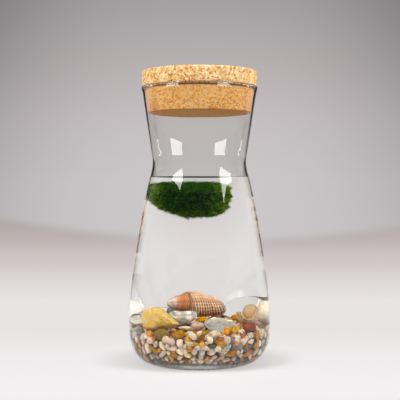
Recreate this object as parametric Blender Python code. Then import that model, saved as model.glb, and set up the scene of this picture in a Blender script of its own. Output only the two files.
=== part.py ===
"""A marimo moss ball afloat in a corked glass carafe, over gravel, shells and stones.

The carafe stands on the plane Z = 0 with its axis on the Z axis, and its front faces -Y.
Sizes and places are in millimetres; meshes are made in metres.
"""

import math
import random

import bmesh
import bpy
from mathutils import Euler, Matrix, Vector, noise

MM = 0.001
GAP = 0.3  # space left between pieces that touch
ROUND = 32  # sides of a turned piece
POCKET_SIDES = 6  # sides of the room left round a piece
SHELL_ROOM = 0.7  # room left round a shell

# Carafe
GLASS_HEIGHT = 175.0
WALL = 1.4
FLOOR = 5.0  # thickness of the glass under the gravel
FOOT_RADIUS = 27.0  # flat ring that the carafe stands on
KICK_RADIUS = 20.0  # shallow hollow pressed into the underside
KICK_DEPTH = 0.8
BELLY_RADIUS = 44.7
BELLY_HEIGHT = 23.0
WAIST_RADIUS = 29.8
WAIST_HEIGHT = 128.0
NECK_TOP = 171.0
NECK_RADIUS = 36.2
LIP_RADIUS = 36.9
INNER_FLOOR_RADIUS = 23.0
CORNER_POWER = 2.3  # squareness of the base corner
INNER_CORNER_STEPS = 4
SIDE = (  # height and outer radius
    (BELLY_HEIGHT, BELLY_RADIUS),
    (42.0, 43.9),
    (60.0, 41.9),
    (90.0, 37.15),
    (112.0, 32.9),
    (122.0, 30.45),
    (WAIST_HEIGHT, WAIST_RADIUS),
    (135.0, 30.75),
    (150.0, 33.05),
    (NECK_TOP, NECK_RADIUS),
)

# Cork stopper
CORK_TOP = 184.5
CORK_BOTTOM = 158.0
CORK_TOP_RADIUS = 36.7
CORK_ABOVE_LIP_RADIUS = 36.0
CORK_EDGE = 1.0  # rounding of the top edge

# Water
WATER_LEVEL = 115.2
MENISCUS_RISE = 2.8
MENISCUS_WIDTH = 5.0
WATER_OVER_GRAVEL = 1.5

# Moss ball
MOSS_CENTRE = (-5.6, 0.0)
MOSS_HALF_WIDTH = 23.2
MOSS_HALF_DEPTH = 21.6
MOSS_TOP = 114.4
MOSS_BOTTOM = 88.8
MOSS_WIDEST = 106.0
MOSS_LUMP = 0.9
MOSS_RINGS = (114.0, 112.4, 108.5, 104.0, 98.5, 93.6, 90.2)  # heights
MOSS_SIDES = 22

# Gravel bed
BED_EDGE = 21.0  # height of the gravel against the glass
BED_MOUND = 7.5  # how much higher it stands in the middle
BED_LUMP = 0.7  # of the pebbles' faces
BED_GAP = 2.9  # depth of the hollows between pebbles
BED_GAP_SHARE = 0.4  # of the skin's points

# Loose pieces: a stone's middle, half sizes, turn in degrees and look
STONES = {
    "grey_stone": ((-33.8, -19.6, 21.9), (4.3, 3.0, 3.2), (0, 10, -58), "grey"),
    "orange_tan_pebble": ((-28.9, -28.2, 22.0), (3.1, 2.1, 2.4), (0, 8, -44), "tan"),
    "olive_brown_pebble": ((-21.9, -32.9, 22.5), (5.2, 3.1, 3.7), (0, -10, -33), "ochre"),
    "brown_oval_pebble": ((-11.8, -36.6, 23.2), (4.6, 3.1, 2.9), (0, -14, -17), "brown"),
    "white_flat_pebble": ((-8.4, -28.2, 26.1), (3.9, 3.0, 1.4), (0, 5, 10), "cream"),
    "peach_pebble": ((-0.6, -27.0, 27.2), (3.5, 2.8, 3.1), (10, 20, 15), "cream"),
    "tan_pebble": ((1.4, -14.2, 29.2), (3.4, 3.0, 2.7), (0, 12, 20), "ochre"),
    "large_white_pebble": ((8.4, -37.0, 23.3), (3.6, 2.6, 2.6), (0, 20, 12), "cream"),
    "upright_orange_pebble": ((15.7, -35.0, 24.9), (1.9, 1.9, 2.8), (0, 6, 25), "tan"),
    "olive_gold_pebble": ((20.8, -31.4, 25.5), (2.8, 2.3, 2.0), (0, -20, 33), "ochre"),
    "red_stone": ((28.6, -23.4, 25.3), (5.2, 3.4, 3.1), (0, 8, 40), "red"),
    "orange_chip": ((17.0, 3.0, 29.0), (3.6, 2.2, 1.7), (0, -18, 20), "tan"),
    "back_slate_stone": ((-8.0, 29.0, 26.0), (6.5, 3.6, 3.0), (0, 6, 14), "grey"),
    "back_cream_pebble": ((6.5, 35.0, 24.0), (4.2, 3.0, 2.8), (0, -8, -12), "cream"),
    "back_brown_pebble": ((-27.0, 27.5, 24.2), (4.6, 3.2, 2.9), (0, 10, 44), "brown"),
}
YELLOW_OUTLINE = (  # across and height, from the left end round the top
    (-34.0, 31.0),
    (-32.2, 36.2),
    (-26.0, 38.0),
    (-20.8, 37.5),
    (-17.2, 34.2),
    (-10.8, 28.0),
    (-15.6, 25.8),
    (-26.6, 24.6),
    (-32.6, 25.6),
)
YELLOW_FRONT = -31.0
YELLOW_BACK = -20.6
YELLOW_LEFT_TURN = 0.30  # how far the left end swings back, for each mm across

# Clear glass nuggets: middle, radius, thickness and turn in degrees; the flat side is down at no turn
NUGGETS = {
    "nugget_bowl": ((-8.4, -16.0, 31.2), 7.4, 7.2, (174, -1, 0)),
    "nugget_front": ((11.4, -22.6, 29.0), 8.6, 7.0, (16, 8, 0)),
    "nugget_back_disc": ((17.5, 21.0, 30.8), 10.0, 7.4, (58, 0, -24)),
    "nugget_left_upper": ((-33.4, -5.4, 28.9), 6.0, 4.6, (9, -7, 0)),
    "nugget_left_lower": ((-33.6, -9.8, 23.0), 5.6, 4.4, (9, -7, 0)),
    "nugget_back_left": ((-15.0, 16.5, 30.2), 8.2, 6.4, (-10, 8, 20)),
}
NUGGET_SIDES = 12

# Coiled shells. The axis runs from the apex to the canal, and the mouth opens to one side of it
SHELLS = {
    "whelk_shell": {
        "look": "whelk",
        "apex": (-21.3, -6.1, 38.5),  # where the coil would start; it is blunt before that
        "axis": (0.95, 0.31, -0.04),
        "mouth": (0.0, -0.35, -1.0),
        "radius": 8.6,
        "to_whorl": 23.0,  # apex to the middle of the last whorl
        "growth": 1.5,  # of each turn
        "turns": 2.34,
        "whorl": 7.6,  # half length of the last whorl
        "core": (  # length from the apex, radius and drop towards the mouth
            (8.6, 2.5, 0.0),
            (16.0, 3.6, 0.0),
            (26.8, 6.0, 1.2),
            (30.5, 5.3, 2.4),
            (33.4, 3.4, 3.3),
            (34.6, 1.8, 3.6),
        ),
        "tip": 2.9,  # radius of the blunt first whorl
        "voxel": 0.5,
        "keep": 0.052,
    },
    "turban_shell": {
        "look": "turban",
        "apex": (28.4, -21.8, 34.6),
        "axis": (-0.14, 0.94, -0.24),
        "mouth": (-1.0, 0.0, 0.1),
        "radius": 8.6,
        "to_whorl": 6.4,
        "growth": 1.85,
        "turns": 3.2,
        "whorl": 5.0,
        "core": ((0.6, 0.6, 0.0), (4.8, 3.6, 0.0), (8.9, 4.3, 0.5), (9.6, 1.4, 1.7)),
        "tip": 0.0,
        "voxel": 0.45,
        "keep": 0.06,
    },
    "cream_shell": {
        "look": "shell",
        "apex": (36.6, 4.4, 37.4),
        "axis": (-0.30, 0.42, -0.86),
        "mouth": (-0.8, 0.4, 0.0),
        "radius": 9.4,
        "to_whorl": 8.4,
        "growth": 1.75,
        "turns": 3.3,
        "whorl": 6.6,
        "core": ((0.9, 0.7, 0.0), (6.3, 3.9, 0.0), (11.7, 4.7, 0.6), (15.0, 1.5, 1.9)),
        "tip": 0.0,
        "voxel": 0.5,
        "keep": 0.052,
    },
}
SHELL_AROUND = 18  # stations in each turn
SHELL_SECTION = 10  # points round the tube
TUBE_SHARE = 0.58  # of the radius: the tube's own half width

# Half shell leaning on the left wall
CLAM_MIDDLE = (-31.2, 10.2, 32.0)
CLAM_RADIUS = 8.4
CLAM_HEIGHT = 4.6
CLAM_TURN = (12, -24, 30)
CLAM_RIBS = 9
CLAM_SIDES = 18

COLOURS = {  # red, green, blue, roughness and how much light passes through
    "glass": (0.95, 0.97, 0.96, 0.02, 1.0),
    "cork": (0.78, 0.52, 0.28, 0.85, 0.0),
    "water": (0.93, 0.97, 0.95, 0.0, 1.0),
    "moss": (0.03, 0.12, 0.02, 0.95, 0.0),
    "gravel": (0.62, 0.49, 0.34, 0.6, 0.0),
    "yellow": (0.86, 0.55, 0.16, 0.7, 0.0),
    "grey": (0.25, 0.24, 0.22, 0.55, 0.0),
    "tan": (0.62, 0.28, 0.09, 0.55, 0.0),
    "ochre": (0.40, 0.25, 0.07, 0.55, 0.0),
    "brown": (0.30, 0.13, 0.03, 0.5, 0.0),
    "cream": (0.80, 0.68, 0.55, 0.6, 0.0),
    "red": (0.34, 0.07, 0.02, 0.6, 0.0),
    "whelk": (0.66, 0.37, 0.21, 0.5, 0.0),
    "turban": (0.52, 0.38, 0.24, 0.4, 0.0),
    "shell": (0.93, 0.82, 0.62, 0.45, 0.0),
    "white": (0.93, 0.91, 0.86, 0.5, 0.0),
}


def clear_scene():
    """Removes whatever the open file holds."""
    for obj in list(bpy.data.objects):
        bpy.data.objects.remove(obj, do_unlink=True)


def material(name):
    """The Principled material of one look, made once."""
    if name in bpy.data.materials:
        return bpy.data.materials[name]
    red, green, blue, rough, clear = COLOURS[name]
    made = bpy.data.materials.new(name)
    made.use_nodes = True
    shader = made.node_tree.nodes["Principled BSDF"]
    shader.inputs["Base Color"].default_value = (red, green, blue, 1.0)
    shader.inputs["Roughness"].default_value = rough
    shader.inputs["Metallic"].default_value = 0.0
    shader.inputs["Transmission Weight"].default_value = clear
    return made


def make_object(name, bm, look, sharp_angle=None):
    """An object of the mesh, which is in millimetres, with its faces turned outwards."""
    bmesh.ops.recalc_face_normals(bm, faces=bm.faces)
    bmesh.ops.scale(bm, vec=Vector((MM, MM, MM)), verts=bm.verts)
    mesh = bpy.data.meshes.new(name)
    bm.to_mesh(mesh)
    bm.free()
    if sharp_angle is not None:
        mesh.shade_smooth()
        mesh.set_sharp_from_angle(angle=math.radians(sharp_angle))
    obj = bpy.data.objects.new(name, mesh)
    obj.data.materials.append(material(look))
    bpy.context.scene.collection.objects.link(obj)
    return obj


def block_round(points, margin, pole, end, slopes, sides):
    """A many-sided block that holds the points: upright sides, then sloped ones up or down to its pole.

    pole is 1 for a block that is closed above and -1 below; its other end is flat, at the height end.
    """
    ways = [Vector((0, 0, pole))]
    for slope in slopes:
        for i in range(sides):
            turn = 2 * math.pi * (i + 0.37) / sides
            level = math.cos(math.radians(slope))
            up = pole * math.sin(math.radians(slope))
            ways.append(Vector((math.cos(turn) * level, math.sin(turn) * level, up)))
    planes = [(way * (max(way.dot(spot) for spot in points) + margin), way) for way in ways]
    planes.append((Vector((0, 0, end)), Vector((0, 0, -pole))))
    bm = bmesh.new()
    bmesh.ops.create_cube(bm, size=4 * GLASS_HEIGHT)
    for place, way in planes:
        geometry = bm.verts[:] + bm.edges[:] + bm.faces[:]
        cut = bmesh.ops.bisect_plane(
            bm, geom=geometry, dist=1e-5, plane_co=place, plane_no=way, clear_outer=True
        )
        rim = [item for item in cut["geom_cut"] if isinstance(item, bmesh.types.BMEdge)]
        bmesh.ops.edgeloop_fill(bm, edges=rim)
    bmesh.ops.remove_doubles(bm, verts=bm.verts, dist=0.02)
    return bm


def add_cutter(target, name, block):
    """Cuts the block from target."""
    cutter = make_object(name, block, "gravel")
    cutter.hide_render = True
    cutter.display_type = "WIRE"
    cut = target.modifiers.new(name, "BOOLEAN")
    cut.operation = "DIFFERENCE"
    cut.object = cutter


def points_of(obj):
    """The object's own points in millimetres, with its place."""
    return [obj.matrix_basis @ vert.co / MM for vert in obj.data.vertices]


def side_radius(height):
    """Outer radius of the carafe between its belly and its neck's top, on one smooth curve."""
    slopes = [0.0]
    for (low, first), (_, _), (high, last) in zip(SIDE, SIDE[1:], SIDE[2:]):
        slopes.append((last - first) / (high - low))
    slopes.append((SIDE[-1][1] - SIDE[-2][1]) / (SIDE[-1][0] - SIDE[-2][0]))
    spans = zip(SIDE, SIDE[1:], slopes, slopes[1:])
    for (low, first), (high, last), slope_in, slope_out in spans:
        if height <= high:
            break
    span = high - low
    u = (height - low) / span
    return (
        (2 * u**3 - 3 * u**2 + 1) * first
        + (u**3 - 2 * u**2 + u) * span * slope_in
        + (3 * u**2 - 2 * u**3) * last
        + (u**3 - u**2) * span * slope_out
    )


def corner(low_radius, low_height, high_radius, high_height, steps):
    """Points (radius, height) of a round base corner, from its low end to its high end."""
    points = []
    for i in range(steps + 1):
        angle = math.pi / 2 * i / steps
        out = math.sin(angle) ** (2 / CORNER_POWER)
        up = 1 - math.cos(angle) ** (2 / CORNER_POWER)
        points.append(
            (
                low_radius + (high_radius - low_radius) * out,
                low_height + (high_height - low_height) * up,
            )
        )
    return points


def inner_radius(height):
    """Inner radius of the carafe above its floor."""
    if height >= BELLY_HEIGHT:
        return side_radius(height) - WALL
    down = (BELLY_HEIGHT - height) / (BELLY_HEIGHT - FLOOR)
    out = (1 - down**CORNER_POWER) ** (1 / CORNER_POWER)
    return INNER_FLOOR_RADIUS + (BELLY_RADIUS - WALL - INNER_FLOOR_RADIUS) * out


def turned(name, outline, look, sharp_angle=35):
    """A solid of revolution of an outline of (radius, height) that starts and ends on the axis."""
    bm = bmesh.new()
    verts = [bm.verts.new((radius, 0.0, height)) for radius, height in outline]
    edges = [bm.edges.new(pair) for pair in zip(verts, verts[1:])]
    bmesh.ops.spin(
        bm,
        geom=verts + edges,
        cent=(0, 0, 0),
        axis=(0, 0, 1),
        angle=2 * math.pi,
        steps=ROUND,
        use_merge=True,
    )
    bmesh.ops.remove_doubles(bm, verts=bm.verts, dist=0.001)
    return make_object(name, bm, look, sharp_angle)


def make_carafe():
    """Glass carafe: pressed foot, round base corner, slim waist, flared neck and beaded lip."""
    heights = (42, 62, 84, 102, 117, WAIST_HEIGHT, 139, 155, NECK_TOP)
    inner_heights = (42, 66, 94, 117, WAIST_HEIGHT, 141, NECK_TOP)
    outline = [(0.0, KICK_DEPTH), (KICK_RADIUS, 0.0)]
    outline += corner(FOOT_RADIUS, 0.0, BELLY_RADIUS, BELLY_HEIGHT, 5)
    outline += [(side_radius(height), height) for height in heights]
    outline += [
        (LIP_RADIUS, GLASS_HEIGHT - 1.6),
        (LIP_RADIUS - 0.7, GLASS_HEIGHT),
        (LIP_RADIUS - 1.3, GLASS_HEIGHT - 0.6),
    ]
    outline += [(side_radius(height) - WALL, height) for height in reversed(inner_heights)]
    outline += corner(
        INNER_FLOOR_RADIUS, FLOOR, BELLY_RADIUS - WALL, BELLY_HEIGHT, INNER_CORNER_STEPS
    )[::-1]
    outline.append((0.0, FLOOR))
    return turned("carafe", outline, "glass")


def make_cork():
    """Tapered cork stopper, squeezed by the neck and standing proud of the lip."""
    neck = [
        (side_radius(height) - WALL - GAP, height)
        for height in (CORK_BOTTOM + 0.6, NECK_TOP)
    ]
    outline = [(0.0, CORK_BOTTOM), (neck[0][0] - 0.6, CORK_BOTTOM), *neck]
    outline += [
        (LIP_RADIUS - 1.3 - GAP, GLASS_HEIGHT - 0.4),
        (CORK_ABOVE_LIP_RADIUS, GLASS_HEIGHT + 1.6),
        (CORK_TOP_RADIUS, CORK_TOP - CORK_EDGE),
        (CORK_TOP_RADIUS - 0.3 * CORK_EDGE, CORK_TOP - 0.3 * CORK_EDGE),
        (CORK_TOP_RADIUS - CORK_EDGE, CORK_TOP),
        (0.0, CORK_TOP),
    ]
    return turned("cork_stopper", outline, "cork")


def bed_height(radius):
    """Height of the gravel's top at a distance from the carafe's axis."""
    edge = inner_radius(BED_EDGE)
    return BED_EDGE + BED_MOUND * (1 - (min(radius, edge) / edge) ** 2)


def make_water():
    """Water from the gravel's top to its level, which climbs the glass in a meniscus."""
    top = WATER_LEVEL + MENISCUS_RISE
    edge = side_radius(top) - WALL - GAP
    outline = [(0.0, bed_height(0) + WATER_OVER_GRAVEL)]
    for radius in (18, 33):
        outline.append((radius, bed_height(radius) + WATER_OVER_GRAVEL))
    for height in (BED_EDGE + WATER_OVER_GRAVEL, 46, 74, 104):
        outline.append((inner_radius(height) - GAP, height))
    outline.append((edge, top))
    for part in (0.16, 0.5, 1.0):
        rise = MENISCUS_RISE * (1 - part) ** 2.6
        outline.append((edge - MENISCUS_WIDTH * part, WATER_LEVEL + rise))
    outline.append((0.0, WATER_LEVEL))
    return turned("water", outline, "water", sharp_angle=40)


def moss_reach(turn, height):
    """Share of the moss's half width at a height: steep below at the right, sloped at the left."""
    if height > MOSS_WIDEST:
        up = (height - MOSS_WIDEST) / (MOSS_TOP - MOSS_WIDEST)
        return (1 - up**4) ** 0.5
    down = (MOSS_WIDEST - height) / (MOSS_WIDEST - MOSS_BOTTOM)
    return (1 - down**2) ** (0.5 - 0.3 * math.cos(turn))


def make_moss():
    """Bun of moss with a flat top and a lumpy skin that reaches the filaments' tips."""
    bm = bmesh.new()
    rows = []
    for height in MOSS_RINGS:
        row = []
        for side in range(MOSS_SIDES):
            turn = 2 * math.pi * side / MOSS_SIDES
            out = moss_reach(turn, height)
            spot = Vector((2.2 * math.cos(turn), 2.2 * math.sin(turn), 0.3 * height))
            lump = 1 - MOSS_LUMP * (0.5 - 0.5 * noise.noise(spot)) / MOSS_HALF_WIDTH * 2
            row.append(
                bm.verts.new(
                    (
                        MOSS_CENTRE[0] + MOSS_HALF_WIDTH * out * math.cos(turn) * lump,
                        MOSS_CENTRE[1] + MOSS_HALF_DEPTH * out * math.sin(turn) * lump,
                        height,
                    )
                )
            )
        rows.append(row)
    close_rows(bm, rows, (*MOSS_CENTRE, MOSS_TOP), (*MOSS_CENTRE, MOSS_BOTTOM))
    return make_object("moss_ball", bm, "moss", sharp_angle=70)


def close_rows(bm, rows, first, last):
    """Faces between rings of points, closed by a point at each end."""
    for low, high in zip(rows, rows[1:]):
        for i, vert in enumerate(low):
            after = (i + 1) % len(low)
            bm.faces.new((vert, low[after], high[after], high[i]))
    for row, end in ((rows[0], first), (rows[-1], last)):
        tip = bm.verts.new(end)
        for i, vert in enumerate(row):
            bm.faces.new((vert, row[(i + 1) % len(row)], tip))


def make_gravel_bed():
    """Gravel fill in the carafe's own shape, with a pebbly side and a mounded pebbly top."""
    shuffle = random.Random(11)
    bottom = FLOOR + GAP
    wall = corner(INNER_FLOOR_RADIUS, FLOOR, BELLY_RADIUS - WALL, BELLY_HEIGHT, INNER_CORNER_STEPS)
    (low_radius, low), (high_radius, high) = wall[-2:]
    share = (BED_EDGE - 1 - low) / (high - low)
    wall[-1] = (low_radius + share * (high_radius - low_radius), BED_EDGE - 1)
    side = [(radius - GAP - 0.1, height + GAP * (row == 0)) for row, (radius, height) in enumerate(wall)]
    top = [(radius, bed_height(radius)) for radius in (37, 29, 20.5, 12, 5)]
    bm = bmesh.new()
    rows = []
    for row, (radius, height) in enumerate(side + top):
        ring = []
        for i in range(ROUND):
            turn = 2 * math.pi * (i + 0.5 * (row % 2)) / ROUND
            lump = shuffle.uniform(0, BED_LUMP)
            if shuffle.random() < BED_GAP_SHARE:
                lump = shuffle.uniform(0.7, 1.0) * BED_GAP
            out = radius - (lump if 0 < row < len(side) else 0.0)
            up = height + (0.0 if row < len(side) else BED_LUMP - lump)
            ring.append(bm.verts.new((out * math.cos(turn), out * math.sin(turn), up)))
        rows.append(ring)
    close_rows(bm, rows, (0, 0, bottom), (0, 0, bed_height(0)))
    bmesh.ops.triangulate(bm, faces=bm.faces)
    return make_object("gravel_bed", bm, "gravel")


def make_stone(name, middle, half, turn, look, seed):
    """Water-worn pebble: a ball with a few flats pressed into it, then sized and turned."""
    shuffle = random.Random(seed)
    flats = []
    for _ in range(7):
        way = Vector([shuffle.gauss(0, 1) for _ in range(3)]).normalized()
        flats.append((way, shuffle.uniform(0.72, 0.92)))
    bm = bmesh.new()
    bmesh.ops.create_icosphere(bm, subdivisions=2, radius=1.0)
    for vert in bm.verts:
        for way, depth in flats:
            over = vert.co.dot(way) - depth
            if over > 0:
                vert.co -= way * over * 0.85
    reach = [max(abs(vert.co[i]) for vert in bm.verts) for i in range(3)]
    rotation = Euler([math.radians(a) for a in turn]).to_matrix()
    for vert in bm.verts:
        sized = Vector([vert.co[i] / reach[i] * half[i] for i in range(3)])
        vert.co = rotation @ sized + Vector(middle)
    return make_object(name, bm, look, sharp_angle=60)


def make_yellow_stone():
    """Broken yellow stone: a flat-faced slab that lies along the wall at the left."""
    span = (YELLOW_FRONT + YELLOW_BACK) / 2
    half = (YELLOW_BACK - YELLOW_FRONT) / 2
    middle_x = sum(x for x, _ in YELLOW_OUTLINE) / len(YELLOW_OUTLINE)
    middle_z = sum(z for _, z in YELLOW_OUTLINE) / len(YELLOW_OUTLINE)
    shuffle = random.Random(4)
    bm = bmesh.new()
    rows = []
    for depth, size in ((-1.0, 0.66), (-0.62, 0.93), (0.2, 1.06), (1.0, 0.75)):
        row = []
        for x, z in YELLOW_OUTLINE:
            swing = YELLOW_LEFT_TURN * max(0.0, middle_x - x)
            row.append(
                bm.verts.new(
                    (
                        middle_x + (x - middle_x) * size,
                        span + depth * half + swing + shuffle.uniform(-0.5, 0.5),
                        middle_z + (z - middle_z) * size,
                    )
                )
            )
        rows.append(row)
    front = (middle_x - 1, YELLOW_FRONT - 0.2, middle_z - 0.5)
    back = (middle_x, YELLOW_BACK + 0.4, middle_z)
    close_rows(bm, rows, front, back)
    return make_object("yellow_stone", bm, "yellow", sharp_angle=25)


def make_nugget(name, middle, radius, thickness, turn):
    """Clear glass nugget: a flat base with a rounded edge under a low dome."""
    rotation = Euler([math.radians(a) for a in turn]).to_matrix()
    half = thickness / 2
    rows = []
    bm = bmesh.new()
    for out, up in ((0.84, -1.0), (1.0, -0.62), (0.93, 0.05), (0.62, 0.72)):
        row = []
        for i in range(NUGGET_SIDES):
            angle = 2 * math.pi * i / NUGGET_SIDES
            spot = Vector((radius * out * math.cos(angle), radius * out * math.sin(angle), half * up))
            row.append(bm.verts.new(rotation @ spot + Vector(middle)))
        rows.append(row)
    low = rotation @ Vector((0, 0, -half)) + Vector(middle)
    high = rotation @ Vector((0, 0, half)) + Vector(middle)
    close_rows(bm, rows, low, high)
    return make_object(name, bm, "glass", sharp_angle=50)


def ring(middle, first, second, sides):
    """Points of an ellipse round a middle, from its two half axes."""
    points = []
    for i in range(sides):
        angle = 2 * math.pi * i / sides
        points.append(middle + first * math.cos(angle) + second * math.sin(angle))
    return points


def add_rows(bm, rows, first, last):
    """A closed tube through rings of points, with a point at each end."""
    verts = [[bm.verts.new(point) for point in row] for row in rows]
    close_rows(bm, verts, first, last)


def make_coiled_shell(name, sizes):
    """Snail or whelk shell: a tube that grows as it winds round a core, joined in one skin."""
    apex = Vector(sizes["apex"])
    along = Vector(sizes["axis"]).normalized()
    mouth = Vector(sizes["mouth"])
    mouth = (mouth - along * mouth.dot(along)).normalized()
    side = along.cross(mouth)
    radius, to_whorl = sizes["radius"], sizes["to_whorl"]
    whorl, turns = sizes["whorl"], sizes["turns"]
    rows = []
    steps = int(turns * SHELL_AROUND)
    for i in range(steps + 1):
        turn = 2 * math.pi * (i - steps) / SHELL_AROUND
        size = sizes["growth"] ** (turn / (2 * math.pi))
        out = mouth * math.cos(turn) + side * math.sin(turn)
        middle = apex + out * radius * size * (1 - TUBE_SHARE) + along * size * to_whorl
        half_width = out * radius * size * TUBE_SHARE
        rows.append(ring(middle, half_width, along * size * whorl, SHELL_SECTION))
    start = sum(rows[0], Vector()) / SHELL_SECTION
    end = sum(rows[-1], Vector()) / SHELL_SECTION - side * 0.15 * radius
    bm = bmesh.new()
    add_rows(bm, rows, start, end)
    rows = []
    for length, reach, drop in sizes["core"]:
        middle = apex + along * length + mouth * drop
        rows.append(ring(middle, mouth * reach, side * reach, SHELL_SECTION))
    first = apex + along * (sizes["core"][0][0] - 0.4)
    last = apex + along * (sizes["core"][-1][0] + 0.4) + mouth * sizes["core"][-1][2]
    add_rows(bm, rows, first, last)
    if sizes["tip"]:
        middle = apex + along * sizes["core"][0][0]
        place = Matrix.Translation(middle)
        bmesh.ops.create_icosphere(bm, subdivisions=3, radius=sizes["tip"], matrix=place)
    shell = make_object(name, bm, sizes["look"], sharp_angle=80)
    skin = shell.modifiers.new("one_skin", "REMESH")
    skin.mode = "VOXEL"
    skin.voxel_size = sizes["voxel"] * MM
    thin = shell.modifiers.new("fewer_faces", "DECIMATE")
    thin.ratio = sizes["keep"]
    return shell


def make_clam():
    """Half shell of a clam: a ribbed dome with a thick edge, leaning on the left wall."""
    rotation = Euler([math.radians(a) for a in CLAM_TURN]).to_matrix()
    bm = bmesh.new()
    rows = []
    for out, up in ((0.8, 0.0), (1.0, 0.02), (0.9, 0.42), (0.62, 0.84)):
        row = []
        for i in range(CLAM_SIDES):
            angle = 2 * math.pi * i / CLAM_SIDES
            beak = 1 - 0.16 * math.cos(angle) ** 3
            rib = 1 + 0.03 * math.cos(CLAM_RIBS * angle)
            reach = CLAM_RADIUS * out * beak * rib
            spot = Vector((reach * math.cos(angle), 0.86 * reach * math.sin(angle), CLAM_HEIGHT * up))
            row.append(bm.verts.new(rotation @ spot + Vector(CLAM_MIDDLE)))
        rows.append(row)
    low = rotation @ Vector((0, 0, CLAM_HEIGHT * 0.12)) + Vector(CLAM_MIDDLE)
    high = rotation @ Vector((0, 0, CLAM_HEIGHT)) + Vector(CLAM_MIDDLE)
    close_rows(bm, rows, low, high)
    return make_object("white_shell", bm, "white", sharp_angle=60)


def make_contents():
    """Everything that lies on the gravel, with its name."""
    pieces = [make_yellow_stone(), make_clam()]
    for seed, (name, (middle, half, turn, look)) in enumerate(STONES.items()):
        pieces.append(make_stone(name, middle, half, turn, look, seed))
    for name, sizes in NUGGETS.items():
        pieces.append(make_nugget(name, *sizes))
    for name, sizes in SHELLS.items():
        pieces.append(make_coiled_shell(name, sizes))
    return pieces


def main():
    """Builds the carafe, its stopper, the water and all that lies or floats in it."""
    clear_scene()
    make_carafe()
    make_cork()
    water = make_water()
    moss = make_moss()
    bed = make_gravel_bed()
    pocket = block_round(points_of(moss), GAP, -1, GLASS_HEIGHT, (0, 30, 60), 16)
    add_cutter(water, "space_for_moss_ball", pocket)
    for piece in make_contents():
        points = points_of(piece)
        margin = SHELL_ROOM if piece.name in SHELLS else GAP
        pocket = block_round(points, margin, 1, BED_EDGE - 6, (0, 45), POCKET_SIDES)
        add_cutter(water, f"space_in_water_for_{piece.name}", pocket)
        low = min(point.z for point in points)
        if low < bed_height(0) + BED_LUMP:
            pocket = block_round(points, margin, -1, GLASS_HEIGHT / 2, (0, 45), POCKET_SIDES)
            add_cutter(bed, f"space_in_gravel_for_{piece.name}", pocket)


main()
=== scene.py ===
"""Looks of a marimo moss ball afloat in a corked glass carafe.

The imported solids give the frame: Z is up, the carafe's axis is the Z axis and its front
faces -Y. Each piece stands in place of a solid, or of a part of one. Sizes are in
millimetres unless a name says otherwise, and meshes are made in metres.
"""

from __future__ import annotations

import logging
import math
import random
from dataclasses import dataclass, field
from enum import Enum
from typing import Callable, Sequence

import bmesh
import bpy
import numpy as np
from bpy.types import Material, Node, NodeSocket, NodeTree, Object
from mathutils import Euler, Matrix, Quaternion, Vector, noise


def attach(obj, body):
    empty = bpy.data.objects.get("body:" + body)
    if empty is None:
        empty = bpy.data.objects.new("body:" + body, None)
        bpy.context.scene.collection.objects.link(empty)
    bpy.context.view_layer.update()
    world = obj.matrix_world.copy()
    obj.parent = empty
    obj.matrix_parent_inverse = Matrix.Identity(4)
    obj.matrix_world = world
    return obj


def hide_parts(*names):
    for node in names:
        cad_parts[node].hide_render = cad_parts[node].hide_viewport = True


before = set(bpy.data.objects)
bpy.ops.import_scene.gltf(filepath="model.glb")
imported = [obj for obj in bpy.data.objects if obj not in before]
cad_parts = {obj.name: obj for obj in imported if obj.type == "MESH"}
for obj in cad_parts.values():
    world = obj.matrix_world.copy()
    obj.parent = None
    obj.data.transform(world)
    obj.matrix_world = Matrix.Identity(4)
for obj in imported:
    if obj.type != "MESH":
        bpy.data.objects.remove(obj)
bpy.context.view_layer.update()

Place = tuple[float, float, float]
Outline = list[tuple[float, float]]
Skin = tuple[np.ndarray, list]

MM = 0.001
LOG = logging.getLogger("marimo_carafe")


def linear(hex_colour: str) -> tuple[float, float, float, float]:
    """Turns an sRGB hex colour into a linear one with full alpha.

    Args:
        hex_colour: six hex digits, such as "f3cf94".

    Returns:
        Red, green, blue and alpha.
    """
    parts = [int(hex_colour[i : i + 2], 16) / 255 for i in (0, 2, 4)]
    light = [p / 12.92 if p <= 0.04045 else ((p + 0.055) / 1.055) ** 2.4 for p in parts]
    return (*light, 1.0)


def add_node(
    tree: NodeTree, kind: str, inputs: dict | list | None = None,
    stops: Sequence[tuple[float, str]] = (), **settings: object
) -> Node:
    """Adds one node with its settings, its input values and its links.

    Args:
        tree: the node tree that gets the node.
        kind: the node's type without its prefix, such as "TexNoise".
        inputs: values in the inputs' order, or by an input's name or index. A socket feeds its
            input, and a node feeds it from its first output.
        stops: places and sRGB hex colours of a colour ramp.
        **settings: the node's own settings by name.

    Returns:
        The new node.
    """
    node = tree.nodes.new(f"ShaderNode{kind}")
    for name, value in settings.items():
        setattr(node, name, value)
    pairs = inputs.items() if isinstance(inputs, dict) else enumerate(inputs or [])
    for name, value in pairs:
        if isinstance(value, Node):
            value = value.outputs[0]
        if isinstance(value, NodeSocket):
            tree.links.new(value, node.inputs[name])
        else:
            node.inputs[name].default_value = value
    if stops:
        ramp = node.color_ramp
        while len(ramp.elements) < len(stops):
            ramp.elements.new(1.0)
        for element, (place, colour) in zip(ramp.elements, stops):
            element.position = place
            element.color = linear(colour)
    return node


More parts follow.
